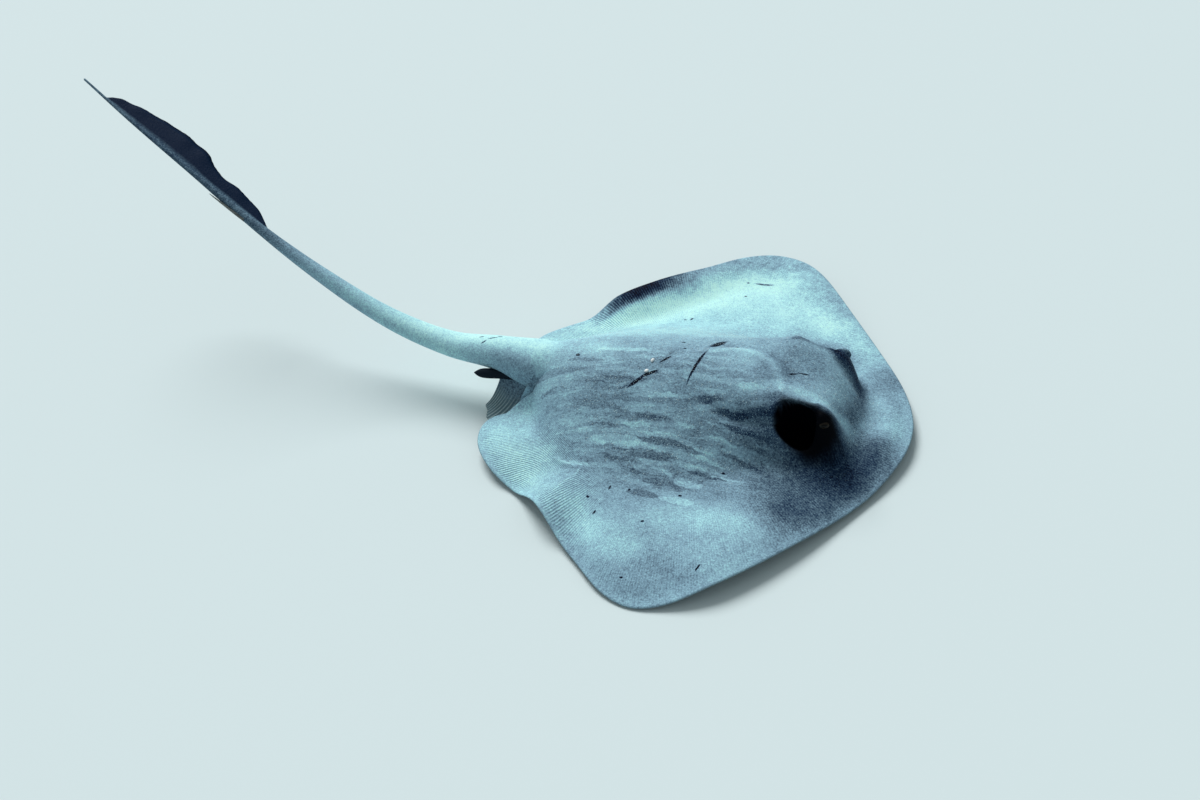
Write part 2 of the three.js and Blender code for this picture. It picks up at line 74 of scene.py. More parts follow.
# Position, how far the raised back spreads sideways, how sharp its shoulder is.
SPREAD = [
    (425, 110, 2.5), (330, 114, 3.4), (290, 128, 6), (235, 143, 7), (185, 153, 5), (140, 168, 3.4),
    (80, 190, 2.3), (0, 212, 2), (-100, 210, 2), (-200, 180, 2), (-260, 132, 2), (ROOT_X, 76, 2),
]  # fmt: skip
# How high the edge of each wing is held, from front to rear.
LIFT_RIGHT = [
    (425, 20), (360, 10), (262, 24), (170, 27), (90, 7), (30, 2), (-50, 8), (-130, 12),
    (-195, 44), (-270, 7), (-340, 20), (-402, 26),
]  # fmt: skip
LIFT_LEFT = [
    (425, 20), (340, 12), (250, 22), (150, 34), (50, 36), (-80, 52), (-180, 68), (-250, 60),
    (-310, 18), (-350, 16), (-402, 26),
]  # fmt: skip
# How much of the left wing's lift comes as a curl of its edge alone.
CURL = 0.7
# Where the wings' inner margins rise to the root of the tail.
INNER_MARGIN_WIDTH, INNER_MARGIN_LENGTH = 100, 56
# How far raised back and raised wing are blended into each other.
BACK_BLEND = 14
# Where the head begins to leave the body's straight line, how far aside it is held, and how far the
# one side of it leads the other.
NECK_X = 60
HEAD_SWAY = -22
HEAD_SKEW = 0.045
# How much higher the head's left side is than its right, and how round its front is in plan.
HEAD_ROLL = 0.06
HEAD_ROUNDING = 0.0016

# The middle line of the tail.
TAIL_PATH = [
    (ROOT_X, ROOT_SWAY, ROOT_HEIGHT), (-400, 16, 108), (-525, 37, 106), (-680, 73, 133), (-860, 124, 202),
    (-1020, 173, 283), (-1200, 233, 387), (-1360, 290, 477), (-1480, 335, 550),
]  # fmt: skip
TAIL_TIP = 3
# Share of the tail's length, half width, half height.
TAIL_GIRTH = [
    (0, ROOT_HALF_WIDTH, ROOT_HALF_HEIGHT), (0.07, 38, 33), (0.166, 27.5, 24.5), (0.27, 22.5, 21),
    (0.41, 17.5, 16.5), (0.54, 12, 12), (0.61, 9.2, 9.2), (0.71, 6, 6), (0.86, 4, 4), (1, 2.4, 2.4),
]  # fmt: skip
# Share of the tail's length, and how far round its back has turned there, in degrees.
TAIL_TWIST = [(0, 0), (0.18, 0), (0.5, 80), (1, 88)]
# The fold of skin under the tail: its place in shares of the tail's length, and its height.
FOLD_FROM, FOLD_TO = 0.56, 0.945
FOLD_ROOT_THICKNESS, FOLD_EDGE_THICKNESS = 4, 1.4
FOLD_HEIGHT = [
    (0, 0), (0.1, 25), (0.19, 34), (0.26, 38), (0.32, 35), (0.4, 42), (0.47, 58), (0.58, 61),
    (0.68, 59), (0.79, 50), (0.88, 38), (0.95, 26), (1, 6),
]  # fmt: skip
STING = {
    "from": 0.6, "to": 0.678, "half_width": 5, "half_thickness": 2.2, "rise": 3.5, "barbs": 22,
}  # fmt: skip

EYE = {"x": 287, "side": 99, "height": 110, "radii": np.array((12.5, 12, 11.5)), "cornea": 0.06}
EYE_GAZE = {"forward": 0.24, "out": 0.9, "up": 0.36}
# The swelling of the skull under each eye, and on it the bulge that the eye looks out of.
ORBIT = {"x": 287, "side": 87, "length": 28, "width": 23, "height": 28}
BULGE = {"x": 283, "side": 87, "top": 127, "front": 23, "rear": 28, "width": 24, "drop": 21}
# Each spiracle: the middle of its mouth, half length, half widths towards the midline and away from
# it, turn in degrees, and how far inwards and down its bottom lies.
SPIRACLE = {
    "x": 237, "side": 106, "length": 42, "inner": 27, "outer": 28, "turn": -6, "inward": 24, "depth": 78,
}  # fmt: skip
# Corners of a pelvic fin: forward, sideways, up.
PELVIC = {
    "root_front": (-284, 34, 62),
    "root_rear": (-392, 16, 78),
    "edge_front": (-352, 150, 8),
    "edge_rear": (-434, 62, 22),
}
PELVIC_ROOT_THICKNESS, PELVIC_EDGE_THICKNESS = 9, 2
PELVIC_PLEATS = 17
CLASPER = {"from": (-350, 21, 80), "to": (-444, 40, 92), "radius": 11}

# How fine the skin is. Columns run out from the middle of the disc, and rings run round it.
SIDE_COLUMNS = 240
ROOT_COLUMNS = 24
TOP_RINGS = 116
UNDER_RINGS = 32
TAIL_RINGS = 210
# Where they stand closer, as shares of the way: at, over what width, how much more.
COLUMN_CROWDS = [(0.105, 0.032, 6), (0.15, 0.08, 2.2), (0.97, 0.05, 0.8)]
TOP_CROWDS = [(0.7, 0.1, 1.6), (0.75, 0.035, 4), (1, 0.03, 1.2)]
UNDER_CROWDS = [(0.7, 0.2, 1.0), (1, 0.03, 1.0)]
TAIL_CROWDS = [(0.74, 0.16, 0.7), (0, 0.05, 1.0)]
# How far rearwards a fin ray sweeps between the middle and the margin of the right wing. On the
# left it is half as far.
RAY_SWEEP = 130


# ---------------------------------------------------------------- small maths
def clamp01(t):
    return np.clip(t, 0, 1)


def mix(a, b, k):
    return a + (b - a) * k


def smooth(t, start, end):
    """From 0 at start to 1 at end, level at both."""
    k = clamp01((t - start) / (end - start))
    return k * k * (3 - 2 * k)


def bell(t):
    """1 at zero, falling away on both sides."""
    return np.exp(-t * t)


def soft_max(a, b, width):
    """The larger of two heights, with the crease between them filled over a width."""
    return 0.5 * (a + b + np.hypot(a - b, width))


def cubic(a, b, slope_a, slope_b, k):
    """A curve from a to b with a given slope at each end, read at k from 0 to 1."""
    rise = a * (2 * k**3 - 3 * k**2 + 1) + b * (3 * k**2 - 2 * k**3)
    return rise + slope_a * (k**3 - 2 * k**2 + k) + slope_b * (k**3 - k**2)


def through(rows, at, column=1):
    """A smooth curve through rows of (position, value, ...), read at any positions."""
    table = np.array(sorted(rows), float)
    where, value = table[:, 0], table[:, column]
    before = np.maximum(np.arange(len(where)) - 1, 0)
    after = np.minimum(np.arange(len(where)) + 1, len(where) - 1)
    slope = (value[after] - value[before]) / (where[after] - where[before])
    t = np.clip(at, where[0], where[-1])
    i = np.clip(np.searchsorted(where, t, side="right") - 1, 0, len(where) - 2)
    span = where[i + 1] - where[i]
    k = (t - where[i]) / span
    return cubic(value[i], value[i + 1], span * slope[i], span * slope[i + 1], k)


def crowded(count, spots):
    """count + 1 places from 0 to 1, closer together about each spot (at, width, how much more)."""
    steps = 2000
    t = (np.arange(steps) + 0.5) / steps
    density = 1 + sum(more * bell((t - at) / width) for at, width, more in spots)
    total = np.concatenate([[0], np.cumsum(density)])
    return np.interp(np.linspace(0, total[-1], count + 1), total, np.linspace(0, 1, steps + 1))


def distance_to_line(x, y, points):
    """How far each place is from a bent line, in plan."""
    nearest = np.full(np.shape(x), 1e9)
    for (ax, ay), (bx, by) in zip(points[:-1], points[1:]):
        dx, dy = bx - ax, by - ay
        k = clamp01(((x - ax) * dx + (y - ay) * dy) / (dx * dx + dy * dy))
        nearest = np.minimum(nearest, np.hypot(x - ax - k * dx, y - ay - k * dy))
    return nearest


def ripple(x, y, size, shift=0.0):
    """Gentle uneven swells between -1 and 1, about `size` across, which don't repeat."""
    a, b = x / size * 2.1, y / size * 2.1
    one = np.sin(a + 1.7 * np.sin(0.61 * b + shift)) * np.cos(b + 1.3 * np.sin(0.73 * a + 2 * shift))
    two = np.sin(0.53 * a - 1.9 * b + 2.2 + shift) * np.cos(1.37 * a + 0.41 * b + 0.7)
    return 0.6 * one + 0.4 * two


class Path:
    """A smooth curve through a few points, read at shares of its length."""

    def __init__(self, points, steps=80):
        given = np.array(points, float)
        p = np.vstack([2 * given[0] - given[1], given, 2 * given[-1] - given[-2]])
        knots = np.sqrt(np.linalg.norm(np.diff(p, axis=0), axis=1))
        t = np.linspace(0, 1, steps, endpoint=False)[:, None]
        pieces = []
        # The slopes weigh near points more than far ones, so that the curve has no overshoot.
        for i in range(1, len(p) - 2):
            a, b, c = knots[i - 1], knots[i], knots[i + 1]
            start = (p[i] - p[i - 1]) / a - (p[i + 1] - p[i - 1]) / (a + b) + (p[i + 1] - p[i]) / b
            end = (p[i + 1] - p[i]) / b - (p[i + 2] - p[i]) / (b + c) + (p[i + 2] - p[i + 1]) / c
            pieces.append(cubic(p[i], p[i + 1], b * start, b * end, t))
        self.points = np.vstack([*pieces, p[-2:-1]])
        lengths = np.linalg.norm(np.diff(self.points, axis=0), axis=1)
        self.share = np.concatenate([[0], np.cumsum(lengths)]) / lengths.sum()
        self.length = lengths.sum()

    def at(self, share):
        """The points at shares of the length."""
        return np.stack([np.interp(share, self.share, column) for column in self.points.T], -1)

    def along(self, share):
        """The way that the curve runs there."""
        way = self.at(np.minimum(share + 0.002, 1)) - self.at(np.maximum(share - 0.002, 0))
        return way / np.linalg.norm(way, axis=-1, keepdims=True)


def sway(x):
    """The body's sideways curve: the head to the right, the root of the tail to the left."""
    snout = HALF_OUTLINE[0][0]
    to_head = clamp01((x - NECK_X) / (snout - NECK_X))
    return HEAD_SWAY * to_head**1.5 + ROOT_SWAY * smooth(-x, 180, -ROOT_X)


def placed(x, y):
    """A place given on a straight, even animal, moved to where this one holds it."""
    return x - HEAD_SKEW * y * smooth(x, NECK_X, 300), y + sway(x)


# ---------------------------------------------------------------- the disc
# Swells and dips of muscle, alike on both sides: place forward and sideways, how far it reaches
# each way, height.
SWELLS = [(268, 0, 34, 30, -5), (225, 52, 30, 22, 3), (384, 0, 22, 62, 5), (345, 0, 13, 88, -3.5)]
GROOVE_BEHIND_SPIRACLE = [(212, 108), (176, 116), (140, 116), (96, 108), (60, 96)]
WING_CREASE = [(-205, -206), (-178, -219), (-147, -229), (-150, -250), (-169, -287)]


def disc_columns():
    """The columns of the disc: snout, left margin, tail root, right margin.

    Each has its place on the margin, the heights of the margin's two sides there, how much of them
    is a curl, how far it belongs to the tail's root, and its distance along the margin.
    """
    side = Path(HALF_OUTLINE)
    t = crowded(SIDE_COLUMNS, COLUMN_CROWDS)
    x, y = side.at(t).T
    inner = smooth(-y, -INNER_MARGIN_WIDTH, -ROOT_HALF_WIDTH)
    inner = inner * smooth(x, ROOT_X - INNER_MARGIN_LENGTH, ROOT_X)
    inner = np.where(x < ROOT_X + 1, inner, 0)

    def margin(sign, rows):
        under = mix(through(rows, x), ROOT_HEIGHT - MARGIN_THICKNESS / 2, inner)
        curl = CURL * (1 - inner) if sign > 0 else 0 * inner
        return np.stack([x, sign * y, under, under + MARGIN_THICKNESS, curl, 0 * x, side.length * t])

    angle = np.linspace(0, math.pi, ROOT_COLUMNS + 1)[1:-1]
    rise = ROOT_HALF_HEIGHT * np.sin(angle)
    seam = MARGIN_THICKNESS / 2
    root = np.stack([
        0 * angle + ROOT_X, ROOT_HALF_WIDTH * np.cos(angle), ROOT_HEIGHT - seam - rise,
        ROOT_HEIGHT + seam + rise, 0 * angle, np.sin(angle), 0 * angle + side.length,
    ])  # fmt: skip
    both = np.hstack([margin(1, LIFT_LEFT), root, margin(-1, LIFT_RIGHT)[:, :0:-1]])
    columns = dict(zip(("x", "y", "under", "top", "curl", "root", "arc"), both))
    columns["near_root"] = np.concatenate([inner, 0 * angle + 1, inner[:0:-1]])
    return columns


def underside(column, share):
    """How high the skin of the belly is, at shares of the way out along the columns."""
    arch = ARCH_HEIGHT * np.sin(math.pi * clamp01((share - ARCH_FROM) / (1 - ARCH_FROM))) ** 2
    # A wing's edge rises in a long bend, a curl only in its last quarter.
    bend = smooth(share, 0.45, 1) ** 1.25
    curl = smooth(share, 0.74, 1)
    return arch * (1 - column["root"]) + column["under"] * mix(bend, curl, column["curl"])


def back_height(x, y):
    """The raised middle of the body, with the swellings under the eyes."""
    shoulder = (np.abs(y) / through(SPREAD, x)) ** through(SPREAD, x, 2)
    orbit = ORBIT["height"] * bell((x - ORBIT["x"]) / ORBIT["length"])
    orbit = orbit * bell((np.abs(y) - ORBIT["side"]) / ORBIT["width"])
    roll = HEAD_ROLL * y * smooth(x, NECK_X, 200)
    rounding = HEAD_ROUNDING * (1 + 1.6 * smooth(y, 10, 60))
    return (through(BACK, x + rounding * y * y) + roll) * np.exp(-shoulder) + orbit


def relief(x, y):
    """The hills and hollows of muscle, gills and skin over the plain body."""
    side = np.abs(y)
    rise = 0 * x
    for at_x, at_side, length, width, height in SWELLS:
        rise += height * bell((x - at_x) / length) * bell((side - at_side) / width)
    # The muscle between each spiracle and the midline, fuller on the left.
    fullness = mix(0.5, 1, smooth(y, -20, 20))
    rise += fullness * 9 * bell((x - 204) / 30) * bell((side - 78) / 34)
    # The gill chambers, as two low lobes that aren't quite alike.
    right_edge = mix(0.3, 0.9, smooth(-y, 20, 70))
    rise += 5.5 * smooth(1.2 - np.hypot((x - 96) / 104, (y + 40) / 70), 0, right_edge)
    rise += 3 * smooth(1.15 - np.hypot((x - 92) / 92, (y - 104) / 60), 0, 0.6)
    groove = distance_to_line(x, side, GROOVE_BEHIND_SPIRACLE)
    rise -= 8 * bell(groove / 11) * smooth(x, 60, 150) + 2.2 * bell(groove / 3.2) * smooth(x, 70, 110)
    rise += 2.6 * bell(distance_to_line(x, y, WING_CREASE) / 5)
    # Uneven swells: wide ones on the wings, smaller ones on the body, and fine ones everywhere.
    wings = smooth(side, 120, 220)
    rise += wings * 1.5 * ripple(x, y, 88) + (1 - wings) * 0.8 * ripple(x, y, 46, 1.0)
    rise += 0.35 * ripple(x, y, 17, 2.0)
    return rise


def eye_bulges(x, y, z):
    """Raises the skin to the bulge round each eye, with a soft foot."""
    length = np.where(x > BULGE["x"], BULGE["front"] - 4 * smooth(y, 0, 40), BULGE["rear"])
    from_eye = np.hypot((x - BULGE["x"]) / length, (np.abs(y) - BULGE["side"]) / BULGE["width"])
    foot = mix(7, 26, smooth(from_eye, 1, 1.7)) * bell(from_eye / 4)
    return soft_max(z, BULGE["top"] - 0.03 * y - BULGE["drop"] * from_eye**2.7, foot)


def sink_spiracles(x, y, z):
    """Pushes the skin down into the breathing holes. Also says how far each place is painted black there, as
    their dark skin and as painted shade deep in the hole.
    """
    turn = math.radians(SPIRACLE["turn"])
    ahead, beside = x - SPIRACLE["x"], np.abs(y) - SPIRACLE["side"]
    along = ahead * math.cos(turn) + beside * math.sin(turn)
    across = beside * math.cos(turn) - ahead * math.sin(turn)
    width = np.where(across < 0, SPIRACLE["inner"], SPIRACLE["outer"])
    reach = np.hypot(along / SPIRACLE["length"], across / width)
    # The wall towards the midline is steep, and the outer one slopes.
    steep, sloping = smooth(-reach, -1, -0.35), smooth(-reach, -1.15, -0.25) ** 1.5
    sunk = mix(steep, sloping, smooth(across, -4, 12))
    lip = bell((reach - 1.12) / 0.16) * smooth(SPIRACLE["side"] - np.abs(y), -6, 8)
    y = y + np.sign(y) * (3.5 * lip - SPIRACLE["inward"] * sunk)
    z = z - SPIRACLE["depth"] * sunk + 1.5 * lip
    return y, z, smooth(-reach, -1.03, -0.9)


def disc_top(columns, shares):
    """The disc's upper side, with the eyes' bulges and the spiracles, and how dark each place is."""
    share = shares[:, None]
    x, y = columns["x"] * share, columns["y"] * share
    wing = underside(columns, share) + MARGIN_THICKNESS
    wing = wing + WING_THICKNESS * np.maximum(1 - share**2, 0) ** 1.1
    fade = 1 - smooth(share, 0.9, 1)
    body = back_height(x, y)
    general = soft_max(wing, body * fade, BACK_BLEND * fade)
    at_root = mix(soft_max(wing, body, BACK_BLEND), columns["top"], smooth(share, 0.82, 1))
    z = mix(general, at_root, columns["near_root"])
    # The relief dies away at the margin and where the tail begins.
    calm = (1 - smooth(share, 0.93, 1)) * (1 - smooth(-x, 270, -ROOT_X) * bell(y / 90))
    z = eye_bulges(x, y, z + relief(x, y) * calm)
    y, z, dark = sink_spiracles(x, y, z)
    px, py = placed(x, y)
    return np.stack([px, py, z], -1), dark


def disc_under(columns, shares):
    """The disc's underside, which nowhere goes below the floor."""
    share = shares[:, None]
    x, y = columns["x"] * share, columns["y"] * share
    px, py = placed(x, y)
    return np.stack([px, py, np.maximum(underside(columns, share), 0)], -1)


# ---------------------------------------------------------------- the tail
TAIL = Path(TAIL_PATH)


def tail_frame(share):
    """Middle of the tail, the way to its left side and to its back, at shares of its length."""
    along = mix(np.array([-1.0, 0, 0]), TAIL.along(share), smooth(share, 0, 0.07)[:, None])
    along /= np.linalg.norm(along, axis=1, keepdims=True)
    left = np.cross(along, (0.0, 0.0, 1.0))
    left /= np.linalg.norm(left, axis=1, keepdims=True)
    back = np.cross(left, along)
    twist = np.radians(through(TAIL_TWIST, share))[:, None]
    turned_back = back * np.cos(twist) - left * np.sin(twist)
    turned_left = left * np.cos(twist) + back * np.sin(twist)
    return TAIL.at(share), turned_left, turned_back


def fold_height(share):
    """How far the fold stands out under the tail, with its edge a little ragged."""
    along = (share - FOLD_FROM) / (FOLD_TO - FOLD_FROM)
    on_fold = (along > 0) & (along < 1)
    ragged = 1.1 * np.sin(along * 37) * np.sin(along * 17 + 1)
    ragged = ragged + 0.35 * np.sin(along * 149 + 3 * np.sin(along * 31))
    height = np.maximum(through(FOLD_HEIGHT, clamp01(along)) + ragged * smooth(along, 0.05, 0.2), 0)
    return np.where(on_fold, height, 0)


def tail_rings(shares):
    """Rings of points round the tail, how far each is on the fold, and how far to the left."""
    middle, left_way, back_way = tail_frame(shares)
    half_width = through(TAIL_GIRTH, shares)[:, None]
    half_height = through(TAIL_GIRTH, shares, 2)[:, None]
    seam = MARGIN_THICKNESS / 2 * half_height / ROOT_HALF_HEIGHT
    angle = np.linspace(0, math.pi, ROOT_COLUMNS + 1)[None, :]
    upper_left = half_width * np.cos(angle)
    upper_back = half_height * np.sin(angle) + seam

    # Before the fold the underside is the upper half turned round. Along the fold the same points
    # gather into two flanks, with the fold's two sides between them.
    flank = 7  # steps up one flank
    edge = ROOT_COLUMNS // 2  # steps to the fold's edge
    height = fold_height(shares)[:, None]
    flank_angle = np.pi / 2 - np.arcsin(FOLD_ROOT_THICKNESS / 2 / half_width)
    turn = np.linspace(0, 1, flank + 1)[None, :] * flank_angle
    out = np.linspace(0, 1, edge - flank + 1)[None, 1:]
    closed_edge = 1 - 0.999 * (out == 1)
    thickness = mix(FOLD_ROOT_THICKNESS, FOLD_EDGE_THICKNESS, out) * closed_edge
    base = half_height * np.sin(flank_angle) + seam
    wave = 1.6 * np.sin(shares * 88 + 1.5 * np.sin(shares * 41))[:, None]
    wave = wave * out**2 * smooth(height, 8, 40)
    gathered_left = np.hstack([-half_width * np.cos(turn), 0 * height - thickness / 2])
    gathered_back = np.hstack([-(half_height * np.sin(turn) + seam), -(base + height * out + 0.4 * out)])
    shift = np.hstack([0 * turn + 0 * height, wave])
    gathered_left = np.hstack([gathered_left + shift, (-gathered_left + shift)[:, -2::-1]])
    gathered_back = np.hstack([gathered_back, gathered_back[:, -2::-1]])
    gather = smooth(shares, FOLD_FROM - 0.06, FOLD_FROM)[:, None]
    left = np.hstack([upper_left, mix(-upper_left, gathered_left, gather)])[..., None]
    back = np.hstack([upper_back, mix(-upper_back, gathered_back, gather)])[..., None]
    points = middle[:, None] + left_way[:, None] * left + back_way[:, None] * back

    on_fold = np.zeros(points.shape[:2])
    reach = np.hstack([0 * turn[0], smooth(out[0], 0, 0.2)])
    reach = np.hstack([reach, reach[-2::-1]])
    on_fold[:, ROOT_COLUMNS + 1 :] = reach * smooth(height, 0.5, 6)
    aside = np.hstack([np.cos(angle), -np.cos(angle)]) + 0 * on_fold
    return points, on_fold, aside


# ---------------------------------------------------------------- the skin as one mesh
class MeshBuilder:
    """Gathers points, with what a finish needs to know about each, and the faces between them."""

    def __init__(self, kinds):
        self.points, self.faces, self.count = [], [], 0
        self.values = {kind: [] for kind in kinds}

    def add(self, points, **values):
        """Adds a grid of points with their values, and gives back the grid of their numbers."""
        grid = np.asarray(points, float)
        start = self.count
        flat = grid.reshape(-1, 3)
        self.points.append(flat)
        for kind, kept in self.values.items():
            kept.append(np.broadcast_to(values.get(kind, 0.0), grid.shape[:-1]).reshape(-1))
        self.count += len(flat)
        return start + np.arange(len(flat)).reshape(grid.shape[:-1])

    def quads(self, a, b, c, d):
        self.faces.append(np.stack([a, b, c, d], -1).reshape(-1, 4))

    def strip(self, one, two, closed=False):
        """Joins two lines of points of the same length."""
        if closed:
            one, two = np.append(one, one[0]), np.append(two, two[0])
        self.quads(one[:-1], two[:-1], two[1:], one[1:])

    def sheet(self, grid, flip=False):
        """Fills a grid of points with faces."""
        a, b, c, d = grid[:-1, :-1], grid[1:, :-1], grid[1:, 1:], grid[:-1, 1:]
        if flip:
            b, d = d, b
        self.quads(a, b, c, d)

    def fan(self, centre, ring, flip=False, **values):
        """Closes a ring of points to a new one in its middle, with triangles."""
        middle = np.full(len(ring), self.add(np.reshape(centre, (1, 3)), **values)[0])
        following = np.roll(ring, -1)
        pair = (following, ring) if flip else (ring, following)
        self.faces.append(np.stack([middle, *pair], -1))

    def close_plate(self, upper, lower, flip):
        """Joins two sheets of points along their rims."""
        self.sheet(upper, flip=flip)
        self.sheet(lower, flip=not flip)

        def rim(grid):
            return np.concatenate([grid[0, :-1], grid[:-1, -1], grid[-1, :0:-1], grid[:0:-1, 0]])

        one, two = (rim(lower), rim(upper)) if flip else (rim(upper), rim(lower))
        self.strip(one, two, closed=True)

    def gathered(self):
        """All points so far, and what is known of each."""
        values = {kind: np.concatenate(parts) for kind, parts in self.values.items()}
        return np.vstack(self.points), values

    def finish(self, name, material):
        points, values = self.gathered()
        return mesh_object(name, points, self.faces, material, values)


def wrap(grid):
    """A grid whose first column follows its last."""
    return np.hstack([grid, grid[:, :1]])


def build_disc(skin):
    """The disc as two sheets that meet in a rounded margin. Gives back the rim that the tail joins."""
    columns = disc_columns()
    count = len(columns["x"])
    top_shares = mix(0.03, 1, crowded(TOP_RINGS - 1, TOP_CROWDS))
    under_shares = mix(0.06, 1, crowded(UNDER_RINGS - 1, UNDER_CROWDS))
    is_root = columns["root"] > 0

    top_points, dark = disc_top(columns, top_shares)
    # The rays of the fins sweep rearwards on their way out.
    bend = RAY_SWEEP * (1 - top_shares[:, None]) * np.where(columns["y"] < 0, 1, 0.5)
    ray = np.broadcast_to(columns["arc"], dark.shape) + bend * smooth(-columns["x"], -100, 300)
    top = skin.add(top_points, outward=top_shares[:, None], ray=ray, dark=dark)
    under_points = disc_under(columns, under_shares)
    # The flanks of the tail's root are as dark as the back.
    beside_tail = columns["near_root"] * smooth(np.abs(columns["y"]), 24, 38)
    pale = 1 - beside_tail * smooth(under_shares[:, None], 0.8, 0.95)
    under = skin.add(under_points, outward=under_shares[:, None], ray=columns["arc"], under=pale)

    middle_top, _ = disc_top({k: v[:1] for k, v in columns.items()}, np.array([0.0]))
    skin.fan(middle_top, top[0])
    skin.fan((0, 0, 0), under[0], flip=True, under=1)
    skin.sheet(wrap(top))
    skin.sheet(wrap(under), flip=True)

    # The margin is rounded by one more line of points that stands out between its two sides.
    rim_top, rim_under = top[-1], under[-1]
    outward = np.stack([columns["x"], columns["y"]], -1)
    outward = outward / np.linalg.norm(outward, axis=1, keepdims=True)
    edge_points = 0.5 * (top_points[-1] + under_points[-1])
    edge_points[:, :2] += outward * MARGIN_ROUNDING * (1 - is_root)[:, None]
    edge = skin.add(edge_points[None], outward=1.0, ray=columns["arc"][None, :], under=0.5)[0]
    root_first, root_last = SIDE_COLUMNS, SIDE_COLUMNS + ROOT_COLUMNS
    margin = [k % count for k in range(root_last, root_first + count + 1)]
    skin.strip(rim_top[margin], edge[margin])
    skin.strip(edge[margin], rim_under[margin])
    root = list(range(root_first, root_last + 1))
    return np.concatenate([rim_top[root], rim_under[root][::-1]])


def build_tail(skin, rim):
    """The tail as a tube of skin from the rim of its root."""
    shares = crowded(TAIL_RINGS, TAIL_CROWDS)[1:]
    points, on_fold, aside = tail_rings(shares)
    # The lower half counts as underside, from a little below the flanks.
    around = np.arange(points.shape[1])
    from_flank = np.minimum(around - ROOT_COLUMNS, len(around) - around)
    known = {"tail": shares[:, None], "fold": on_fold, "under": smooth(from_flank, 2, 5), "aside": aside}
    tail = skin.add(points, outward=1.0, **known)
    skin.strip(rim, tail[0], closed=True)
    skin.sheet(wrap(tail))
    end = np.array([1.0])
    skin.fan(TAIL.at(end) + TAIL_TIP * TAIL.along(end), tail[-1], flip=True, outward=1.0, tail=1.0)


def side_point(sign, at):
    """A point given as (forward, sideways, up), on the left (1) or the right (-1)."""
    x, y = placed(at[0], sign * at[1])
    return np.array([x, y, at[2]])


def build_pelvic_fin(skin, sign, rows=24, across=84):
    """A leaf of skin over a fan of rays, fleshy at its root and thin at its scalloped edge."""
    corner = {name: side_point(sign, at) for name, at in PELVIC.items()}
    out = np.linspace(0, 1, rows + 1)[:, None, None]
    rearward = np.linspace(0, 1, across + 1)[None, :, None]
    # The edge is rounded at both corners, scalloped by its pleats and a little wavy.
    rounding = 1 - 0.16 * np.abs(2 * rearward - 1) ** 3
    uneven = 2.6 * np.sin(rearward * 7) + 2.4 * np.sin(out * 3 + rearward * 2)
    pleat = np.sin(rearward * math.pi * 2 * PELVIC_PLEATS + uneven)
    reach = out * rounding * (1 + 0.012 * pleat * out + 0.035 * np.sin(rearward * 19 + 1))
    root = mix(corner["root_front"], corner["root_rear"], rearward)
    edge = mix(corner["edge_front"], corner["edge_rear"], rearward)
    p = mix(root, edge, reach)
    sag = np.array([0, 0, -1.0]) * np.sin(math.pi * reach) * (19 - 6 * rearward)
    half = 0.5 * mix(PELVIC_ROOT_THICKNESS, PELVIC_EDGE_THICKNESS, smooth(out, 0, 1))
    way = np.array([0, sign * 0.5, 1.0])
    fold = 0.4 * pleat * smooth(out, 0.2, 0.6) + 2.4 * np.sin(rearward * 11) * out
    known = {"pelvic": mix(0.03, 1, smooth(out, 0.15, 0.6)), "outward": out, "ray": 0.5 + 0.5 * pleat}
    known = {kind: value[..., 0] for kind, value in known.items()}
    upper = skin.add(p + sag + way * (half + fold), under=0.0, **known)
    lower = skin.add(p + sag - way * (half - fold), under=1.0, **known)
    skin.close_plate(upper, lower, flip=sign > 0)


def build_clasper(skin, sign, rings=40, around=28):
    """A rolled rod of skin with a groove along its back, blunt at its tip."""
    start, end = side_point(sign, CLASPER["from"]), side_point(sign, CLASPER["to"])
    length = np.linalg.norm(end - start)
    along = (end - start) / length
    left = np.cross(along, (0, 0, 1.0))
    left /= np.linalg.norm(left)
    back = np.cross(left, along)
    t = 1 - (1 - np.linspace(0, 1, rings + 1)) ** 1.6
    radius = CLASPER["radius"] * (1 - 0.2 * t) * np.sqrt(np.maximum(1 - smooth(t, 0.74, 1) ** 2, 1e-4))
    radius = radius * (1 + 0.1 * bell((t - 0.7) / 0.14))
    angle = np.linspace(0, 2 * math.pi, around, endpoint=False)[None, :]
    groove = 2.6 * bell((angle - math.pi / 2 - 0.35 * sign) / 0.22) * smooth(t, 0.1, 0.35)[:, None]
    groove = groove * (1 - smooth(t, 0.9, 1))[:, None]
    size = (radius[:, None] - groove)[..., None]
    ring = left * np.cos(angle)[..., None] + back * np.sin(angle)[..., None]
    points = start + along * (t * length)[:, None, None] + ring * size
    rod = skin.add(points, clasper=1.0, outward=t[:, None])
    skin.sheet(wrap(rod))
    skin.fan(start, rod[0], clasper=1.0)
    skin.fan(end, rod[-1], flip=True, clasper=1.0)


def mesh_object(name, points, faces, material, values=None):
    """A smooth-shaded object at the origin, from points in millimetres and lists of faces."""
    mesh = bpy.data.meshes.new(name)
    mesh.from_pydata((np.asarray(points) * MM).tolist(), [], [f for block in faces for f in block.tolist()])
    for kind, value in (values or {}).items():
        attribute = mesh.attributes.new(kind, "FLOAT", "POINT")
        attribute.data.foreach_set("value", np.asarray(value, np.float32))
    mesh.validate()
    mesh.polygons.foreach_set("use_smooth", [True] * len(mesh.polygons))
    mesh.materials.append(material)
    mesh.update()
    piece = bpy.data.objects.new(name, mesh)
    bpy.context.scene.collection.objects.link(piece)
    return piece


# What is known of each point of the skin: share of the way out to the margin, place among the fin
# rays, how far it is part of the underside, a spiracle, the tail (as a share of its length, and how
# far to its left), the fold, a pelvic fin, a clasper or an eyelid.
SKIN_KINDS = ("outward", "ray", "under", "dark", "tail", "aside", "fold", "pelvic", "clasper", "lid")


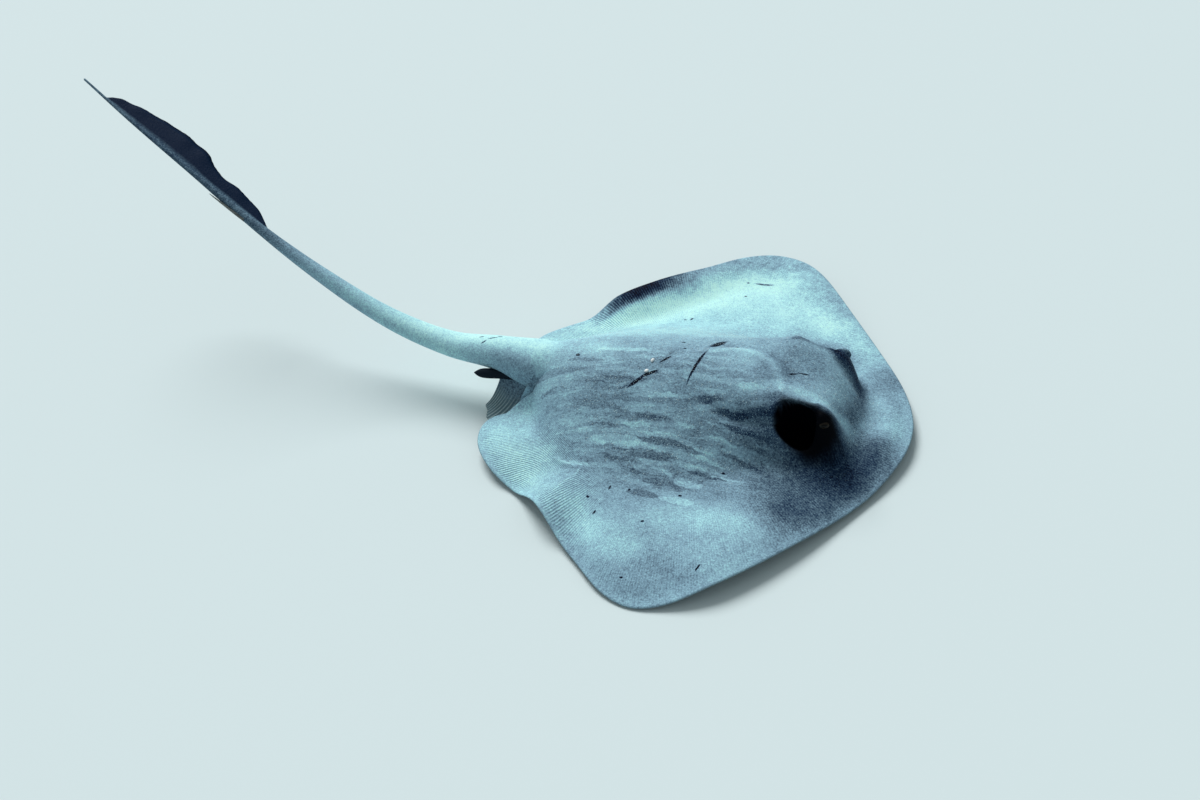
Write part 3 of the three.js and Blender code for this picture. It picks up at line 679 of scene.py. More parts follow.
def make_skin(material, lining):
    """One skin over disc, fins, claspers, eyelids and tail. Also gives back its points."""
    skin = MeshBuilder(SKIN_KINDS)
    build_tail(skin, build_disc(skin))
    for sign in (1, -1):
        build_pelvic_fin(skin, sign)
        build_clasper(skin, sign)
        build_eye_cup(skin, sign)
    points, values = skin.gathered()
    zones = {
        "tone": skin_tone, "dark": black_and_shade_zone, "granules": granule_zone,
        "ribs": rib_zone, "streaky": streak_zone, "mottle": mottle_zone,
    }  # fmt: skip
    for kind, zone in zones.items():
        skin.values[kind] = [zone(points, values)]
    piece = skin.finish("skin", material)
    piece.data.materials.append(lining)
    # Faces that lie wholly inside a spiracle take the black lining, which is their dark skin and painted
    # shade down in the hole.
    deep = np.concatenate([values["dark"][block].min(axis=1) > 0.99 for block in skin.faces])
    piece.data.polygons.foreach_set("material_index", deep.astype(np.int32))
    return piece, points


# ---------------------------------------------------------------- eyes, sting and pearl thorns
def eye_frame(sign):
    """Middle of an eyeball, the way it looks and two ways across that."""
    x, y = placed(EYE["x"], sign * EYE["side"])
    gaze = np.array([EYE_GAZE["forward"], sign * EYE_GAZE["out"], EYE_GAZE["up"]])
    gaze /= np.linalg.norm(gaze)
    across = np.cross(gaze, (0, 0, 1.0))
    across /= np.linalg.norm(across)
    return np.array([x, y, EYE["height"]]), gaze, across, np.cross(across, gaze)


def build_eye_cup(skin, sign, rings=15, around=48):
    """The lids: a thick cup of skin round the eyeball with an almond opening, sunk into the head.

    Polar angles run back from the middle of the cornea, and sizes are shares of the eyeball's radii.
    """
    middle, gaze, across, upward = eye_frame(sign)
    angle = np.linspace(0, 2 * math.pi, around, endpoint=False)[None, :]
    opening = 0.66 + 0.2 * np.abs(np.cos(angle)) ** 1.4 - 0.1 * np.sin(angle)
    cup_end = 2.2
    polar = mix(opening, cup_end, np.linspace(0, 1, rings + 1)[:, None] ** 1.3)
    flat = across * np.cos(angle)[..., None] + upward * np.sin(angle)[..., None]
    way = gaze * np.cos(polar)[..., None] + flat * np.sin(polar)[..., None]
    shrinking = 0.3 * smooth(polar, 1.2, cup_end)
    heavy_upper = 1.15 + 0.06 * smooth(np.sin(angle), 0, 1)
    outer = mix(1.08, heavy_upper, smooth(polar - opening, 0, 0.3)) - shrinking
    wrinkles = 0.02 * np.sin((polar - opening) * 26) * bell((polar - opening - 0.4) / 0.3)
    sheets = []
    for size in (outer + wrinkles, 0 * outer + 1.02 - shrinking):
        points = middle + way * size[..., None] * EYE["radii"]
        sheets.append(wrap(skin.add(points, outward=0.7, lid=1.0)))
    outer, inner = sheets
    skin.sheet(outer)
    skin.sheet(inner, flip=True)
    skin.strip(outer[0], inner[0])
    skin.strip(inner[-1], outer[-1])


def make_eye(name, sign, material, rings=30, around=44):
    """An eyeball with its pole at the middle of the cornea."""
    middle, gaze, across, upward = eye_frame(sign)
    polar = np.linspace(0, math.pi, rings + 1)[1:-1][:, None, None]
    angle = np.linspace(0, 2 * math.pi, around, endpoint=False)[None, :, None]
    way = gaze * np.cos(polar) + (across * np.cos(angle) + upward * np.sin(angle)) * np.sin(polar)
    cornea = 1 + EYE["cornea"] * bell(polar / 0.5)
    wide, tall = np.sin(polar) * np.cos(angle), np.sin(polar) * np.sin(angle)
    ball = MeshBuilder(("gaze", "wide", "tall"))
    points = middle + way * cornea * EYE["radii"]
    grid = ball.add(points, gaze=polar[..., 0], wide=wide[..., 0], tall=tall[..., 0])
    ball.sheet(wrap(grid))
    ball.fan(middle + gaze * (1 + EYE["cornea"]) * EYE["radii"], grid[0])
    ball.fan(middle - gaze * EYE["radii"], grid[-1], flip=True, gaze=math.pi)
    return ball.finish(name, material)


def make_sting(material, rows=132, across=10):
    """The flat spine on the tail's back: a ridged blade with a row of barbs down either edge."""
    along = np.linspace(0, 1, rows + 1)
    on_tail = mix(STING["from"], STING["to"], along)
    middle, left, back = tail_frame(on_tail)
    half_height = through(TAIL_GIRTH, on_tail, 2)
    taper = (1 - along) ** 0.55 + 0.04
    barb = (along * STING["barbs"]) % 1
    width = STING["half_width"] * taper * (1 + 0.2 * (1 - barb) * smooth(along, 0.1, 0.25))
    lift = half_height + mix(-1.2, STING["rise"] + STING["half_thickness"], along)
    side = np.linspace(-1, 1, across + 1)[None, :]
    thick = STING["half_thickness"] * taper[:, None] * (1 - np.abs(side) ** 2.2) + 0.12
    ridge = 0.35 * np.cos(side * 3 * math.pi) * (1 - np.abs(side))
    blade = MeshBuilder(("along",))
    sheets = []
    for face in (1, -1):
        up = (lift[:, None] + face * (thick + ridge * (face > 0)))[..., None]
        aside = (side * width[:, None])[..., None]
        points = middle[:, None] + left[:, None] * aside + back[:, None] * up
        sheets.append(blade.add(points, along=along[:, None]))
    blade.close_plate(*sheets, flip=False)
    return blade.finish("barbed_sting", material)


# The two pearl thorns on the middle of the back: place, half length, half width, height, turn.
PEARLS = [(-59, -48, 5.2, 3.6, 4.2, 62), (-54, -23, 5.8, 3.0, 4.6, 80)]
PEARL_SEAT = 0.6  # how deep they sit in the skin


def make_pearls(skin_points, material, rings=12, around=20):
    """Smooth enamel thorns, egg-shaped in plan, seated in the skin."""
    pearls = MeshBuilder(("height",))
    for x, y, length, width, height, turn in PEARLS:
        away = np.hypot(skin_points[:, 0] - x, skin_points[:, 1] - y)
        # Of two points as near in plan, the higher one is on the back.
        nearest = np.argmin(away - skin_points[:, 2] * 0.1)
        base = skin_points[nearest, 2] - PEARL_SEAT
        polar = np.linspace(0, math.pi / 2, rings + 1)[1:][:, None]
        angle = np.linspace(0, 2 * math.pi, around, endpoint=False)[None, :]
        out = np.sin(polar) * (1 + 0.16 * np.cos(angle) - 0.07 * np.cos(2 * angle))
        a = math.radians(turn)
        along, aside = length * out * np.cos(angle), width * out * np.sin(angle)
        px = x + along * math.cos(a) - aside * math.sin(a)
        py = y + along * math.sin(a) + aside * math.cos(a)
        pz = base + height * np.cos(polar) ** 0.8 + 0 * angle
        dome = pearls.add(np.stack([px, py, pz], -1), height=np.cos(polar))
        pearls.sheet(wrap(dome))
        pearls.fan((x, y, base + height * 1.01), dome[0], height=1.0)
        pearls.fan((x, y, base), dome[-1], flip=True)
    return pearls.finish("pearl_thorns", material)


# ---------------------------------------------------------------- the denticles
DENTICLES = {"per_square_metre": 90000, "smallest": 1.0, "largest": 2.2}
# How close two may stand, as a share of their even spacing.
CLOSEST = 0.55
# The bake map is a plan of the animal: how far a millimetre goes on it, where the animal's middle
# lies, and the size of one denticle's patch.
MAP_SCALE, MAP_MIDDLE, MAP_PATCH = 0.00098, (0.45, 0.5, 0), 0.003


def add_bake_map(mesh):
    """Lays every denticle out as a small patch at its root's place on the skin's plan."""
    at = {}
    for kind in ("root", "spot"):
        at[kind] = np.empty(3 * len(mesh.vertices), np.float32)
        mesh.attributes[kind].data.foreach_get("vector", at[kind])
        at[kind] = at[kind].reshape(-1, 3)[:, :2]
    corner = np.empty(len(mesh.loops), np.int32)
    mesh.loops.foreach_get("vertex_index", corner)
    layout = mesh.uv_layers.new(name="OFBake")
    layout.data.foreach_set("uv", (at["root"] + MAP_PATCH * at["spot"])[corner].ravel())


def denticle_tree(name, material, zone):
    """Geometry nodes that scatter tiny low cones of enamel where the attribute `zone` allows them."""
    tree = bpy.data.node_groups.new(name, "GeometryNodeTree")
    for socket, kind in (
        ("Skin", "Geometry"), ("Per square metre", "Float"), ("Closest", "Float"),
        ("Smallest", "Float"), ("Largest", "Float"), ("Seed", "Int"),
    ):  # fmt: skip
        tree.interface.new_socket(socket, in_out="INPUT", socket_type=f"NodeSocket{kind}")
    tree.interface.new_socket("Denticles", in_out="OUTPUT", socket_type="NodeSocketGeometry")
    given = tree.nodes.new("NodeGroupInput").outputs
    allowed = add(tree, "GeometryNodeInputNamedAttribute", {"Name": zone}, data_type="FLOAT")
    scatter = add(tree, "GeometryNodeDistributePointsOnFaces", {
        "Mesh": given["Skin"], "Distance Min": given["Closest"],
        "Density Max": given["Per square metre"], "Density Factor": allowed, "Seed": given["Seed"],
    }, distribute_method="POISSON")  # fmt: skip
    sized = add(tree, "FunctionNodeRandomValue", {
        2: given["Smallest"], 3: given["Largest"], "Seed": given["Seed"],
    }, out=1, data_type="FLOAT")  # fmt: skip

    # Each cone knows where on itself a point is, where its root stands on the skin's plan, and a
    # number of its own that makes a few of them brighter, as painted glints.
    cone = add(tree, "GeometryNodeMeshCone", {
        "Vertices": 5, "Radius Top": 0.0, "Radius Bottom": 0.5, "Depth": 0.42,
    })  # fmt: skip
    marked = add(tree, "GeometryNodeStoreNamedAttribute", {
        "Geometry": cone, "Name": "spot", "Value": add(tree, "GeometryNodeInputPosition"),
    }, data_type="FLOAT_VECTOR", domain="POINT")  # fmt: skip
    sunk = add(tree, "GeometryNodeTransform", {0: marked, "Translation": (0, 0, -0.06)})
    plan = add(tree, "GeometryNodeInputNamedAttribute", {"Name": "plan"}, data_type="FLOAT_VECTOR")
    rooted = add(tree, "GeometryNodeStoreNamedAttribute", {
        "Geometry": scatter, "Name": "root", "Value": plan,
    }, data_type="FLOAT_VECTOR", domain="POINT")  # fmt: skip
    one_each = add(tree, "FunctionNodeRandomValue", {
        2: 0.0, 3: 1.0, "Seed": given["Seed"],
    }, out=1, data_type="FLOAT")  # fmt: skip
    rooted = add(tree, "GeometryNodeStoreNamedAttribute", {
        "Geometry": rooted, "Name": "glint_chance", "Value": one_each,
    }, data_type="FLOAT", domain="POINT")  # fmt: skip
    spread = add(tree, "GeometryNodeInstanceOnPoints", {
        "Points": rooted, "Instance": sunk, "Rotation": scatter.node.outputs["Rotation"], "Scale": sized,
    })  # fmt: skip
    real = add(tree, "GeometryNodeRealizeInstances", {0: spread})
    made = add(tree, "GeometryNodeSetMaterial", {"Geometry": real, "Material": material})
    tree.links.new(made, tree.nodes.new("NodeGroupOutput").inputs["Denticles"])
    return tree


def make_denticles(name, skin, material, zone):
    """The carpet of denticles, as one mesh of its own."""
    carpet = bpy.data.objects.new(name, skin.data.copy())
    bpy.context.scene.collection.objects.link(carpet)
    modifier = carpet.modifiers.new(name, "NODES")
    modifier.node_group = denticle_tree(name, material, zone)
    density = DENTICLES["per_square_metre"]
    sizes = {
        "Per square metre": density, "Closest": CLOSEST / math.sqrt(density), "Seed": SEED,
        "Smallest": DENTICLES["smallest"] * MM, "Largest": DENTICLES["largest"] * MM,
    }  # fmt: skip
    for item in modifier.node_group.interface.items_tree:
        if item.name in sizes:
            modifier[item.identifier] = sizes[item.name]
    ready = carpet.evaluated_get(bpy.context.evaluated_depsgraph_get())
    mesh = bpy.data.meshes.new_from_object(ready)
    carpet.modifiers.clear()
    carpet.data = mesh
    add_bake_map(mesh)
    mesh.polygons.foreach_set("use_smooth", [True] * len(mesh.polygons))
    return carpet


# ---------------------------------------------------------------- the skin's light and dark areas
# Tone runs from 0, near black, to 1, near white. What follows lies where the animal is held, so it
# isn't moved by `placed`.
BACK_TONE, FIN_TONE, ROOT_TONE = 0.64, 0.42, 0.9
# By share of the tail's length.
TAIL_TONE = [
    (0, 0.9), (0.15, 0.93), (0.3, 0.8), (0.42, 0.66), (0.52, 0.52), (0.6, 0.39), (0.85, 0.35), (1, 0.45),
]  # fmt: skip
# Where painted shade blackens the skin round the right eye and spiracle, in plan.
EYE_SHADE_SURROUND = [
    (212, -86), (262, -86), (284, -96), (306, -98), (322, -116), (306, -138), (262, -148), (226, -138),
    (204, -110),
]  # fmt: skip
# Plain areas, in plan: outline, how soft its edge is, how much lighter (or darker, below 0) the skin
# is inside. The first, over the left side, is partly dust and partly painted light on the side turned to
# the lamp; the third, about the right side of the head, is partly pigment and partly painted shade.
ZONES = [
    ([(-330, 20), (-190, 60), (-60, 88), (60, 104), (112, 150), (150, 232), (214, 250), (238, 276),
      (190, 350), (110, 418), (10, 434), (-70, 384), (-130, 318), (-230, 266), (-310, 266), (-400, 200),
      (-430, 60)], 36, 0.17),
    ([(-300, -60), (-250, -34), (-150, -26), (-60, -2), (0, 34), (60, 50), (96, 20), (160, 20), (215, -30),
      (310, -60), (390, -64), (404, -120), (330, -270), (250, -326), (190, -292), (100, -276), (0, -290),
      (-70, -262), (-130, -236), (-190, -196), (-280, -130)], 26, -0.07),
    ([(120, -124), (205, -84), (318, -78), (372, -48), (400, -70), (408, -120), (350, -210), (300, -290),
      (236, -300), (196, -240), (150, -180)], 42, -0.21),
]  # fmt: skip
# Softer patches: middle (x, y), half length, half width, turn in degrees, change. Those at (300, -155),
# (296, -104) and (165, -112) are painted shade below the right eye and in the groove behind the right
# spiracle, and those at (283, 73) and (300, 62) are painted shade on the side of the left eye's bulge
# that turns from the lamp.
PATCHES = [
    (40, 345, 150, 90, -20, 0.06), (170, 150, 70, 90, 0, -0.06), (-300, -180, 110, 66, -30, 0.19),
    (-215, -280, 90, 46, -42, 0.1), (-60, -352, 110, 40, -40, 0.08), (-2, -388, 44, 24, 0, 0.08),
    (-130, -300, 30, 22, 0, 0.06), (95, -440, 110, 50, 30, -0.02), (300, -155, 80, 46, -12, -0.2),
    (150, -330, 90, 50, 10, 0.05), (378, 60, 40, 70, 0, -0.03), (-130, -110, 110, 26, 0, -0.03),
    (283, 73, 23, 16, 0, -0.34), (120, 445, 160, 40, -28, 0.04), (290, 190, 60, 60, 40, 0.09),
    (262, 250, 40, 90, 40, 0.08), (104, -20, 50, 44, 0, 0.02), (-240, -80, 90, 50, 0, 0.07),
    (300, 62, 24, 26, 0, -0.2), (352, 112, 46, 50, 0, -0.09), (296, -104, 40, 26, 0, -0.05),
    (-120, -160, 120, 40, -10, 0.04), (-50, 345, 60, 44, 0, 0.13), (50, 405, 130, 40, 10, 0.12),
    (-115, 290, 60, 40, 0, 0.13), (-180, 248, 60, 36, 0, 0.13), (225, 275, 70, 44, -40, 0.1),
    (-190, 5, 50, 30, 0, 0.1), (110, 0, 44, 34, 0, 0.09), (-300, 155, 40, 30, 0, 0.1),
    (-100, -345, 50, 30, -40, 0.12), (120, -305, 100, 40, 0, 0.08), (172, -50, 50, 34, 0, -0.1),
    (225, 175, 60, 40, 0, -0.09), (165, -160, 60, 34, 0, 0.08), (265, -165, 60, 34, 0, 0.08),
    (150, -400, 70, 40, 0, 0.08), (-320, -55, 60, 34, 0, 0.1), (60, 200, 70, 60, 0, -0.04),
    (215, 15, 64, 54, 0, -0.13), (-170, -30, 90, 40, 0, 0.02), (165, -112, 50, 22, -5, -0.09),
    (-80, -305, 60, 44, 0, -0.07), (110, -385, 130, 60, 20, -0.05), (352, 0, 40, 120, 0, -0.05),
    (250, 150, 40, 30, 0, -0.07), (90, 200, 60, 34, 0, -0.05), (222, 178, 60, 40, 0, -0.07),
    (395, -110, 44, 56, 0, -0.07), (-285, 235, 50, 30, 0, 0.1), (-190, 236, 60, 20, 25, 0.1),
    (-160, 276, 80, 22, 30, 0.12), (50, -440, 120, 50, 0, -0.05), (-190, -235, 50, 40, 0, -0.05),
    (-275, -150, 50, 36, 0, -0.06), (240, 165, 50, 40, 0, -0.06), (350, 150, 36, 36, 0, -0.07),
    (275, -320, 50, 110, 0, -0.07), (25, 150, 50, 50, 0, -0.05), (100, -250, 50, 30, 0, -0.06),
    (-370, -230, 50, 44, 0, -0.07),
]  # fmt: skip
# Lighter and darker bands: line, half width, change. The lighter band along the ridge inside the right
# spiracle is a painted highlight; the darker bands on the left spiracle's inner rim, across the front of
# the head and in the groove behind the right spiracle are painted shade.
BANDS = [
    ([(140, -70), (196, -60), (240, -68), (286, -72), (314, -62)], 15, 0.22),
    ([(196, 76), (235, 76), (272, 76)], 7, -0.2),
    ([(44, 10), (95, 30), (142, 18), (178, -8), (196, -40), (205, -66)], 7, 0.13),
    ([(70, 42), (110, 46), (156, 30), (192, 4), (212, -26)], 6, -0.07),
    ([(350, 70), (372, 20), (376, -24)], 24, 0.1),
    ([(298, 108), (312, 84), (322, 44), (326, -6), (318, -44), (302, -60)], 12, -0.22),
    ([(205, -96), (178, -108), (140, -112), (96, -104), (60, -92)], 8, -0.08),
    ([(-320, -40), (-250, -24), (-180, -18)], 9, -0.06),
]


def inside(x, y, outline, softness):
    """From 0 well outside an outline to 1 well inside it, half way on the line itself."""
    within = np.zeros(np.shape(x), bool)
    for (ax, ay), (bx, by) in zip(outline, outline[1:] + outline[:1]):
        crosses = (ay > y) != (by > y)
        within ^= crosses & (x < ax + (bx - ax) * (y - ay) / (by - ay if by != ay else 1e-9))
    away = distance_to_line(x, y, [*outline, outline[0]])
    return smooth(np.where(within, away, -away), -softness, softness)


def plan_tone(x, y):
    """The tone of the back in plan, from its zones, patches and bands."""
    tone = np.full(len(x), BACK_TONE)
    drift_x, drift_y = x + 9 * ripple(x, y, 74), y + 9 * ripple(x, y, 66, 3.0)
    for outline, softness, change in ZONES:
        tone = tone + change * inside(drift_x, drift_y, outline, softness)
    for at_x, at_y, length, width, turn, change in PATCHES:
        a = math.radians(turn)
        along = (x - at_x) * math.cos(a) + (y - at_y) * math.sin(a)
        across = (y - at_y) * math.cos(a) - (x - at_x) * math.sin(a)
        tone = tone + change * bell(np.hypot(along / length, across / width) ** 1.5)
    for line, width, change in BANDS:
        tone = tone + change * bell(distance_to_line(x, y, line) / width)
    return tone


def tail_tone(values):
    """The tone along the tail, with a shaded right flank that fades out towards the end."""
    along = values["tail"]
    shade_from = mix(-0.05, 0.1, smooth(along, 0.02, 0.14))
    shade = smooth(-values["aside"], shade_from, 0.9) * mix(0.32, 0.1, smooth(along, 0.02, 0.2))
    return through(TAIL_TONE, along) - shade


def skin_tone(points, values):
    """How light the skin is at each point."""
    x, y = points[:, 0], points[:, 1]
    tone = plan_tone(x, y)
    on_tail = values["tail"] > 0
    # The upturned edge of the left wing is painted greyer, and near black where it curls over behind: painted
    # shade on the edge that turns from the lamp.
    wing = ~on_tail * smooth(y, 120, 200)
    tone = tone - 0.03 * wing * smooth(values["outward"], 0.8, 0.87) * smooth(x, -190, -60)
    tone = tone - 0.62 * wing * smooth(values["outward"], 0.88, 0.935) * bell((x + 204) / 96) ** 2
    # The tail's root flows into the back.
    from_middle = y - ROOT_SWAY
    near_root = (1 - smooth(np.abs(from_middle), 50, 110)) * ~on_tail
    tone = mix(tone, ROOT_TONE, smooth(-x, 220, -ROOT_X) * near_root)
    # Painted shade darkens the right flank of the tail's root.
    right_flank = smooth(-from_middle / ROOT_HALF_WIDTH, 0.1, 0.9)
    tone = tone - 0.29 * smooth(-x, 240, -ROOT_X) * right_flank * near_root
    tone = np.where(on_tail, tail_tone(values), tone)
    tone = np.where(values["pelvic"] > 0, FIN_TONE, tone)
    return clamp01(tone)


def black_and_shade_zone(points, values):
    """Where the skin is painted black: inside the spiracles, as their dark skin and painted shade, and round
    the right eye and spiracle, as painted shade.
    """
    shade_about_eye = inside(points[:, 0], points[:, 1], EYE_SHADE_SURROUND, 10)
    return np.maximum(values["dark"], shade_about_eye * (values["under"] < 0.5))


def streak_zone(points, values):
    """Where the pigment breaks into streaks along the body."""
    x, y = points[:, 0], points[:, 1]
    away = np.hypot((x + 20) / 300, (y + 120) / 170)
    return (1 - smooth(away, 0.6, 1)) * (values["under"] < 0.5) * (values["pelvic"] == 0)


def mottle_zone(points, values):
    """How blotched the skin is: most of all along the edge of the left wing."""
    band = smooth(values["outward"], 0.8, 0.86) * smooth(points[:, 1], 150, 240)
    return 0.2 + 0.35 * band * (values["tail"] == 0)


def rib_zone(points, values):
    """Where fin rays show as ribs: towards the edges of the wings, most of all behind."""
    x = points[:, 0]
    reach = smooth(values["outward"], 0.55, 0.75) * (1 - smooth(values["outward"], 0.96, 1))
    reach = reach * smooth(np.hypot(x + 330, points[:, 1]), 110, 190)
    behind = mix(0.25, 1, smooth(-x, 60, 220))
    return np.where((values["tail"] > 0) | (values["clasper"] > 0), 0, reach * behind)


def granule_zone(points, values):
    """Where the back carries its carpet of denticles: thickest along the middle and on the head."""
    x, y = points[:, 0], points[:, 1]
    covers = [values[kind] for kind in ("under", "pelvic", "clasper", "tail", "lid")]
    bare = np.maximum.reduce([*covers, black_and_shade_zone(points, values)]) > 0.04
    middle = 1 - smooth(np.hypot((x - 60) / 380, (y + 20) / 300), 0.55, 1)
    return np.where(bare, 0, np.maximum(middle, 0.12 * (values["outward"] < 0.93)))


# ---------------------------------------------------------------- materials
def linear(code):
    """An sRGB hex colour as the linear values that Blender's sockets hold."""
    parts = [int(code[i : i + 2], 16) / 255 for i in (1, 3, 5)]
    return (*[c / 12.92 if c <= 0.04045 else ((c + 0.055) / 1.055) ** 2.4 for c in parts], 1.0)


def add(tree, kind, inputs=None, out=0, **settings):
    """Adds a node, sets it up, links or fills its inputs, and gives back one of its outputs."""
    node = tree.nodes.new(kind)
    for name, value in settings.items():
        setattr(node, name, value)
    for socket, value in (inputs or {}).items():
        if isinstance(value, bpy.types.NodeSocket):
            tree.links.new(value, node.inputs[socket])
        else:
            node.inputs[socket].default_value = value
    return node.outputs[out]


def new_material(name):
    """An empty material, its node tree and its surface shader."""
    material = bpy.data.materials.new(name)
    material.use_nodes = True
    tree = material.node_tree
    return material, tree, tree.nodes["Principled BSDF"]


def set_colours(ramp, colours):
    """Gives a colour ramp its colours, from a table of hex codes by position."""
    first, *between, last = sorted(colours.items())
    stops = ramp.node.color_ramp.elements
    for stop, (at, code) in zip(stops, (first, last)):
        stop.position, stop.color = at, linear(code)
    for at, code in between:
        stops.new(at).color = linear(code)


# Marks on the back, in plan: middle (x, y), half length, half width, turn in degrees. The thin lines
# are creases, scars and specks.
PALE_STREAKS = [
    (-54, -144, 30, 4, 0), (10, -158, 58, 3.6, -4), (-92, -172, 56, 8, 0), (-52, -179, 46, 7, -2),
    (62, -167, 40, 3, -12), (-80, -197, 20, 3, 0), (55, -196, 38, 3.2, -3), (-5, -219, 38, 7, -5),
    (-140, -152, 32, 2.6, 3), (36, -136, 20, 2.6, -3), (-38, -117, 54, 7, 3), (-150, -218, 24, 4, -14),
    (88, -182, 34, 2.4, -8), (110, -150, 30, 2.2, -6), (96, -128, 26, 1.8, -8), (132, -206, 30, 3, -4),
    (-14, -92, 30, 5, 6), (64, -232, 26, 8, -3), (56, -274, 34, 7, -2), (-118, 6, 60, 5, 4),
]  # fmt: skip
DARK_BANDS = [
    (-45, -133, 56, 5, 2), (15, -170, 64, 6, -4), (-35, -192, 70, 8, 0), (-38, -216, 76, 12, -16),
    (22, -243, 42, 10, -8), (-8, -268, 32, 7, -6), (66, -93, 38, 6, 5), (-78, -74, 26, 4, 20),
    (-46, -51, 19, 4, 20), (-124, -68, 54, 8, 2), (116, -110, 38, 4.5, -4), (140, -132, 46, 4, -8),
    (-150, -112, 60, 6, -6), (-116, -150, 34, 5, -3), (-30, -6, 24, 2.4, 52), (-250, -48, 66, 7, 2),
    (-190, -26, 40, 4, 2), (96, -208, 40, 3.4, -3), (150, -172, 44, 3.6, -8), (-236, -82, 46, 5, -6),
]  # fmt: skip
THIN_LINES = [
    (36, -27, 38, 2.6, 77), (54, 48, 17, 7, 48), (216, -20, 8, 1.6, 24), (234, -13, 10, 1.5, 8),
    (-52, -52, 17, 2.8, 30), (-74, -70, 18, 3.4, 44), (-30, -16, 13, 2.2, 50), (-211, -15, 4, 3, 0),
    (-87, -318, 5, 2, 70), (-76, -261, 4, 1.8, 80), (-37, -262, 2.4, 2, 0), (4, 399, 3, 2.2, 0),
    (38, 400, 19, 2.8, 0), (-76, 250, 5, 2.2, 80), (-88, 245, 3, 2, 0), (12, 350, 3, 2, 0),
    (8, -449, 3, 2, 0), (139, -418, 7, 1.8, 70), (96, 36, 3, 2, 0), (-3, 20, 3, 2, 0),
    (-14, 47, 4, 2, 0), (60, -262, 3, 2, 0), (-412, 22, 10, 1.8, 20), (-428, 10, 6, 2, 40),
    (-400, 30, 5, 1.6, 0), (-440, 26, 6, 1.6, 10), (-110, -288, 3, 2.4, 0), (10, -330, 3, 2.2, 0),
    (122, -196, 3, 2, 0), (-262, 60, 4, 2.4, 10),
]  # fmt: skip
# The first pale line is a painted highlight along the rim over the right spiracle and eye.
PALE_LINES = [
    (276, -84, 20, 2.4, -4), (-178, -216, 24, 1.8, -20), (-146, -240, 13, 1.8, 84),
    (-160, -270, 21, 1.8, 63),
]  # fmt: skip


def belly_openings():
    """Mouth, nostrils, gill slits and vent on the underside, as marks."""
    rows = [(302, 0, 20, 3.4, 90), (-258, 0, 16, 3, 0)]
    for sign in (1, -1):
        rows += [(298, sign * 26, 13, 3, 90 + sign * 24), (324, sign * 36, 13, 3, sign * 42)]
        rows += [(228 - 24 * i, sign * (78 - 5 * i - i * i), 14, 2.6, 90 - sign * 8) for i in range(5)]
    return [(*placed(x, y), length, width, turn) for x, y, length, width, turn in rows]


RAY_SPACING = 5.5  # between the fin rays that rib the rear of the wings
# Noises in the skin: size in millimetres, how many finer ones lie on it, and how strong they are.
SKIN_NOISES = {
    "clouds": (48, 5, 0.62), "grain": (3, 3, 0.75), "coarse": (7, 4, 0.75), "mottled": (16, 6, 0.7),
}  # fmt: skip
# Pigment by tone.
SKIN_COLOURS = {
    0: "#030617", 0.1: "#09162e", 0.2: "#172e48", 0.3: "#374d62", 0.4: "#556c7c", 0.5: "#6f8b9d",
    0.6: "#84a6b8", 0.7: "#94bbca", 0.8: "#a3d5de", 0.9: "#b7e8eb", 1: "#c8f8f1",
}  # fmt: skip


def marks(tree, place, rows, softness):
    """Where any of the elongated marks lies, from 0 to 1, for a place in plan."""
    total = None
    here = place
    for x, y, length, width, turn in rows:
        own = add(tree, "ShaderNodeMapping", {
            "Vector": here, "Location": (x * MM, y * MM, 0), "Rotation": (0, 0, math.radians(turn)),
            "Scale": (length * MM, width * MM, 1),
        }, vector_type="TEXTURE")  # fmt: skip
        reach = add(tree, "ShaderNodeVectorMath", {0: own}, out="Value", operation="LENGTH")
        mark = add(tree, "ShaderNodeMapRange", {
            "Value": reach, "From Min": 1 + softness, "From Max": 1 - softness,
        }, interpolation_type="SMOOTHSTEP")  # fmt: skip
        if total is None:
            total = mark
        else:
            total = add(tree, "ShaderNodeMath", {0: total, 1: mark}, operation="MAXIMUM")
        # Each mark waits for the one before it, so that few are in hand at once.
        here = add(tree, "ShaderNodeVectorMath", {
            0: total, 1: (0, 0, 0), 2: place,
        }, operation="MULTIPLY_ADD")  # fmt: skip
    return total


def drifted(tree, place, size, strength):
    """A place pushed about by noise, so that what is drawn there has a natural ragged outline."""
    noise = add(tree, "ShaderNodeTexNoise", {
        "Vector": place, "Scale": 1 / (size * MM), "Detail": 3.0,
    }, out="Color")  # fmt: skip
    centred = add(tree, "ShaderNodeVectorMath", {0: noise, 1: (0.5, 0.5, 0.5)}, operation="SUBTRACT")
    push = (strength * MM, strength * MM, 0)
    return add(tree, "ShaderNodeVectorMath", {0: centred, 1: push, 2: place}, operation="MULTIPLY_ADD")


def marked_tone(tree, flat, ragged, known):
    """The skin's tone with its streaks, bands and scars, each list changing it by so much."""
    wavy = drifted(tree, drifted(tree, flat, 9, 3), 2.6, 2.2)
    upper = add(tree, "ShaderNodeMath", {0: 1.0, 1: known["under"]}, operation="SUBTRACT")
    tone = known["tone"]
    for place, rows, softness, change in (
        (ragged, DARK_BANDS, 0.08, -0.12), (ragged, PALE_STREAKS, 0.07, 0.12),
        (wavy, THIN_LINES, 0.4, -0.6), (wavy, PALE_LINES, 0.7, 0.14),
    ):  # fmt: skip
        drawn = marks(tree, place, rows, softness)
        mask = add(tree, "ShaderNodeMath", {0: drawn, 1: upper}, operation="MULTIPLY")
        tone = add(tree, "ShaderNodeMath", {0: mask, 1: change, 2: tone}, operation="MULTIPLY_ADD")
    return tone


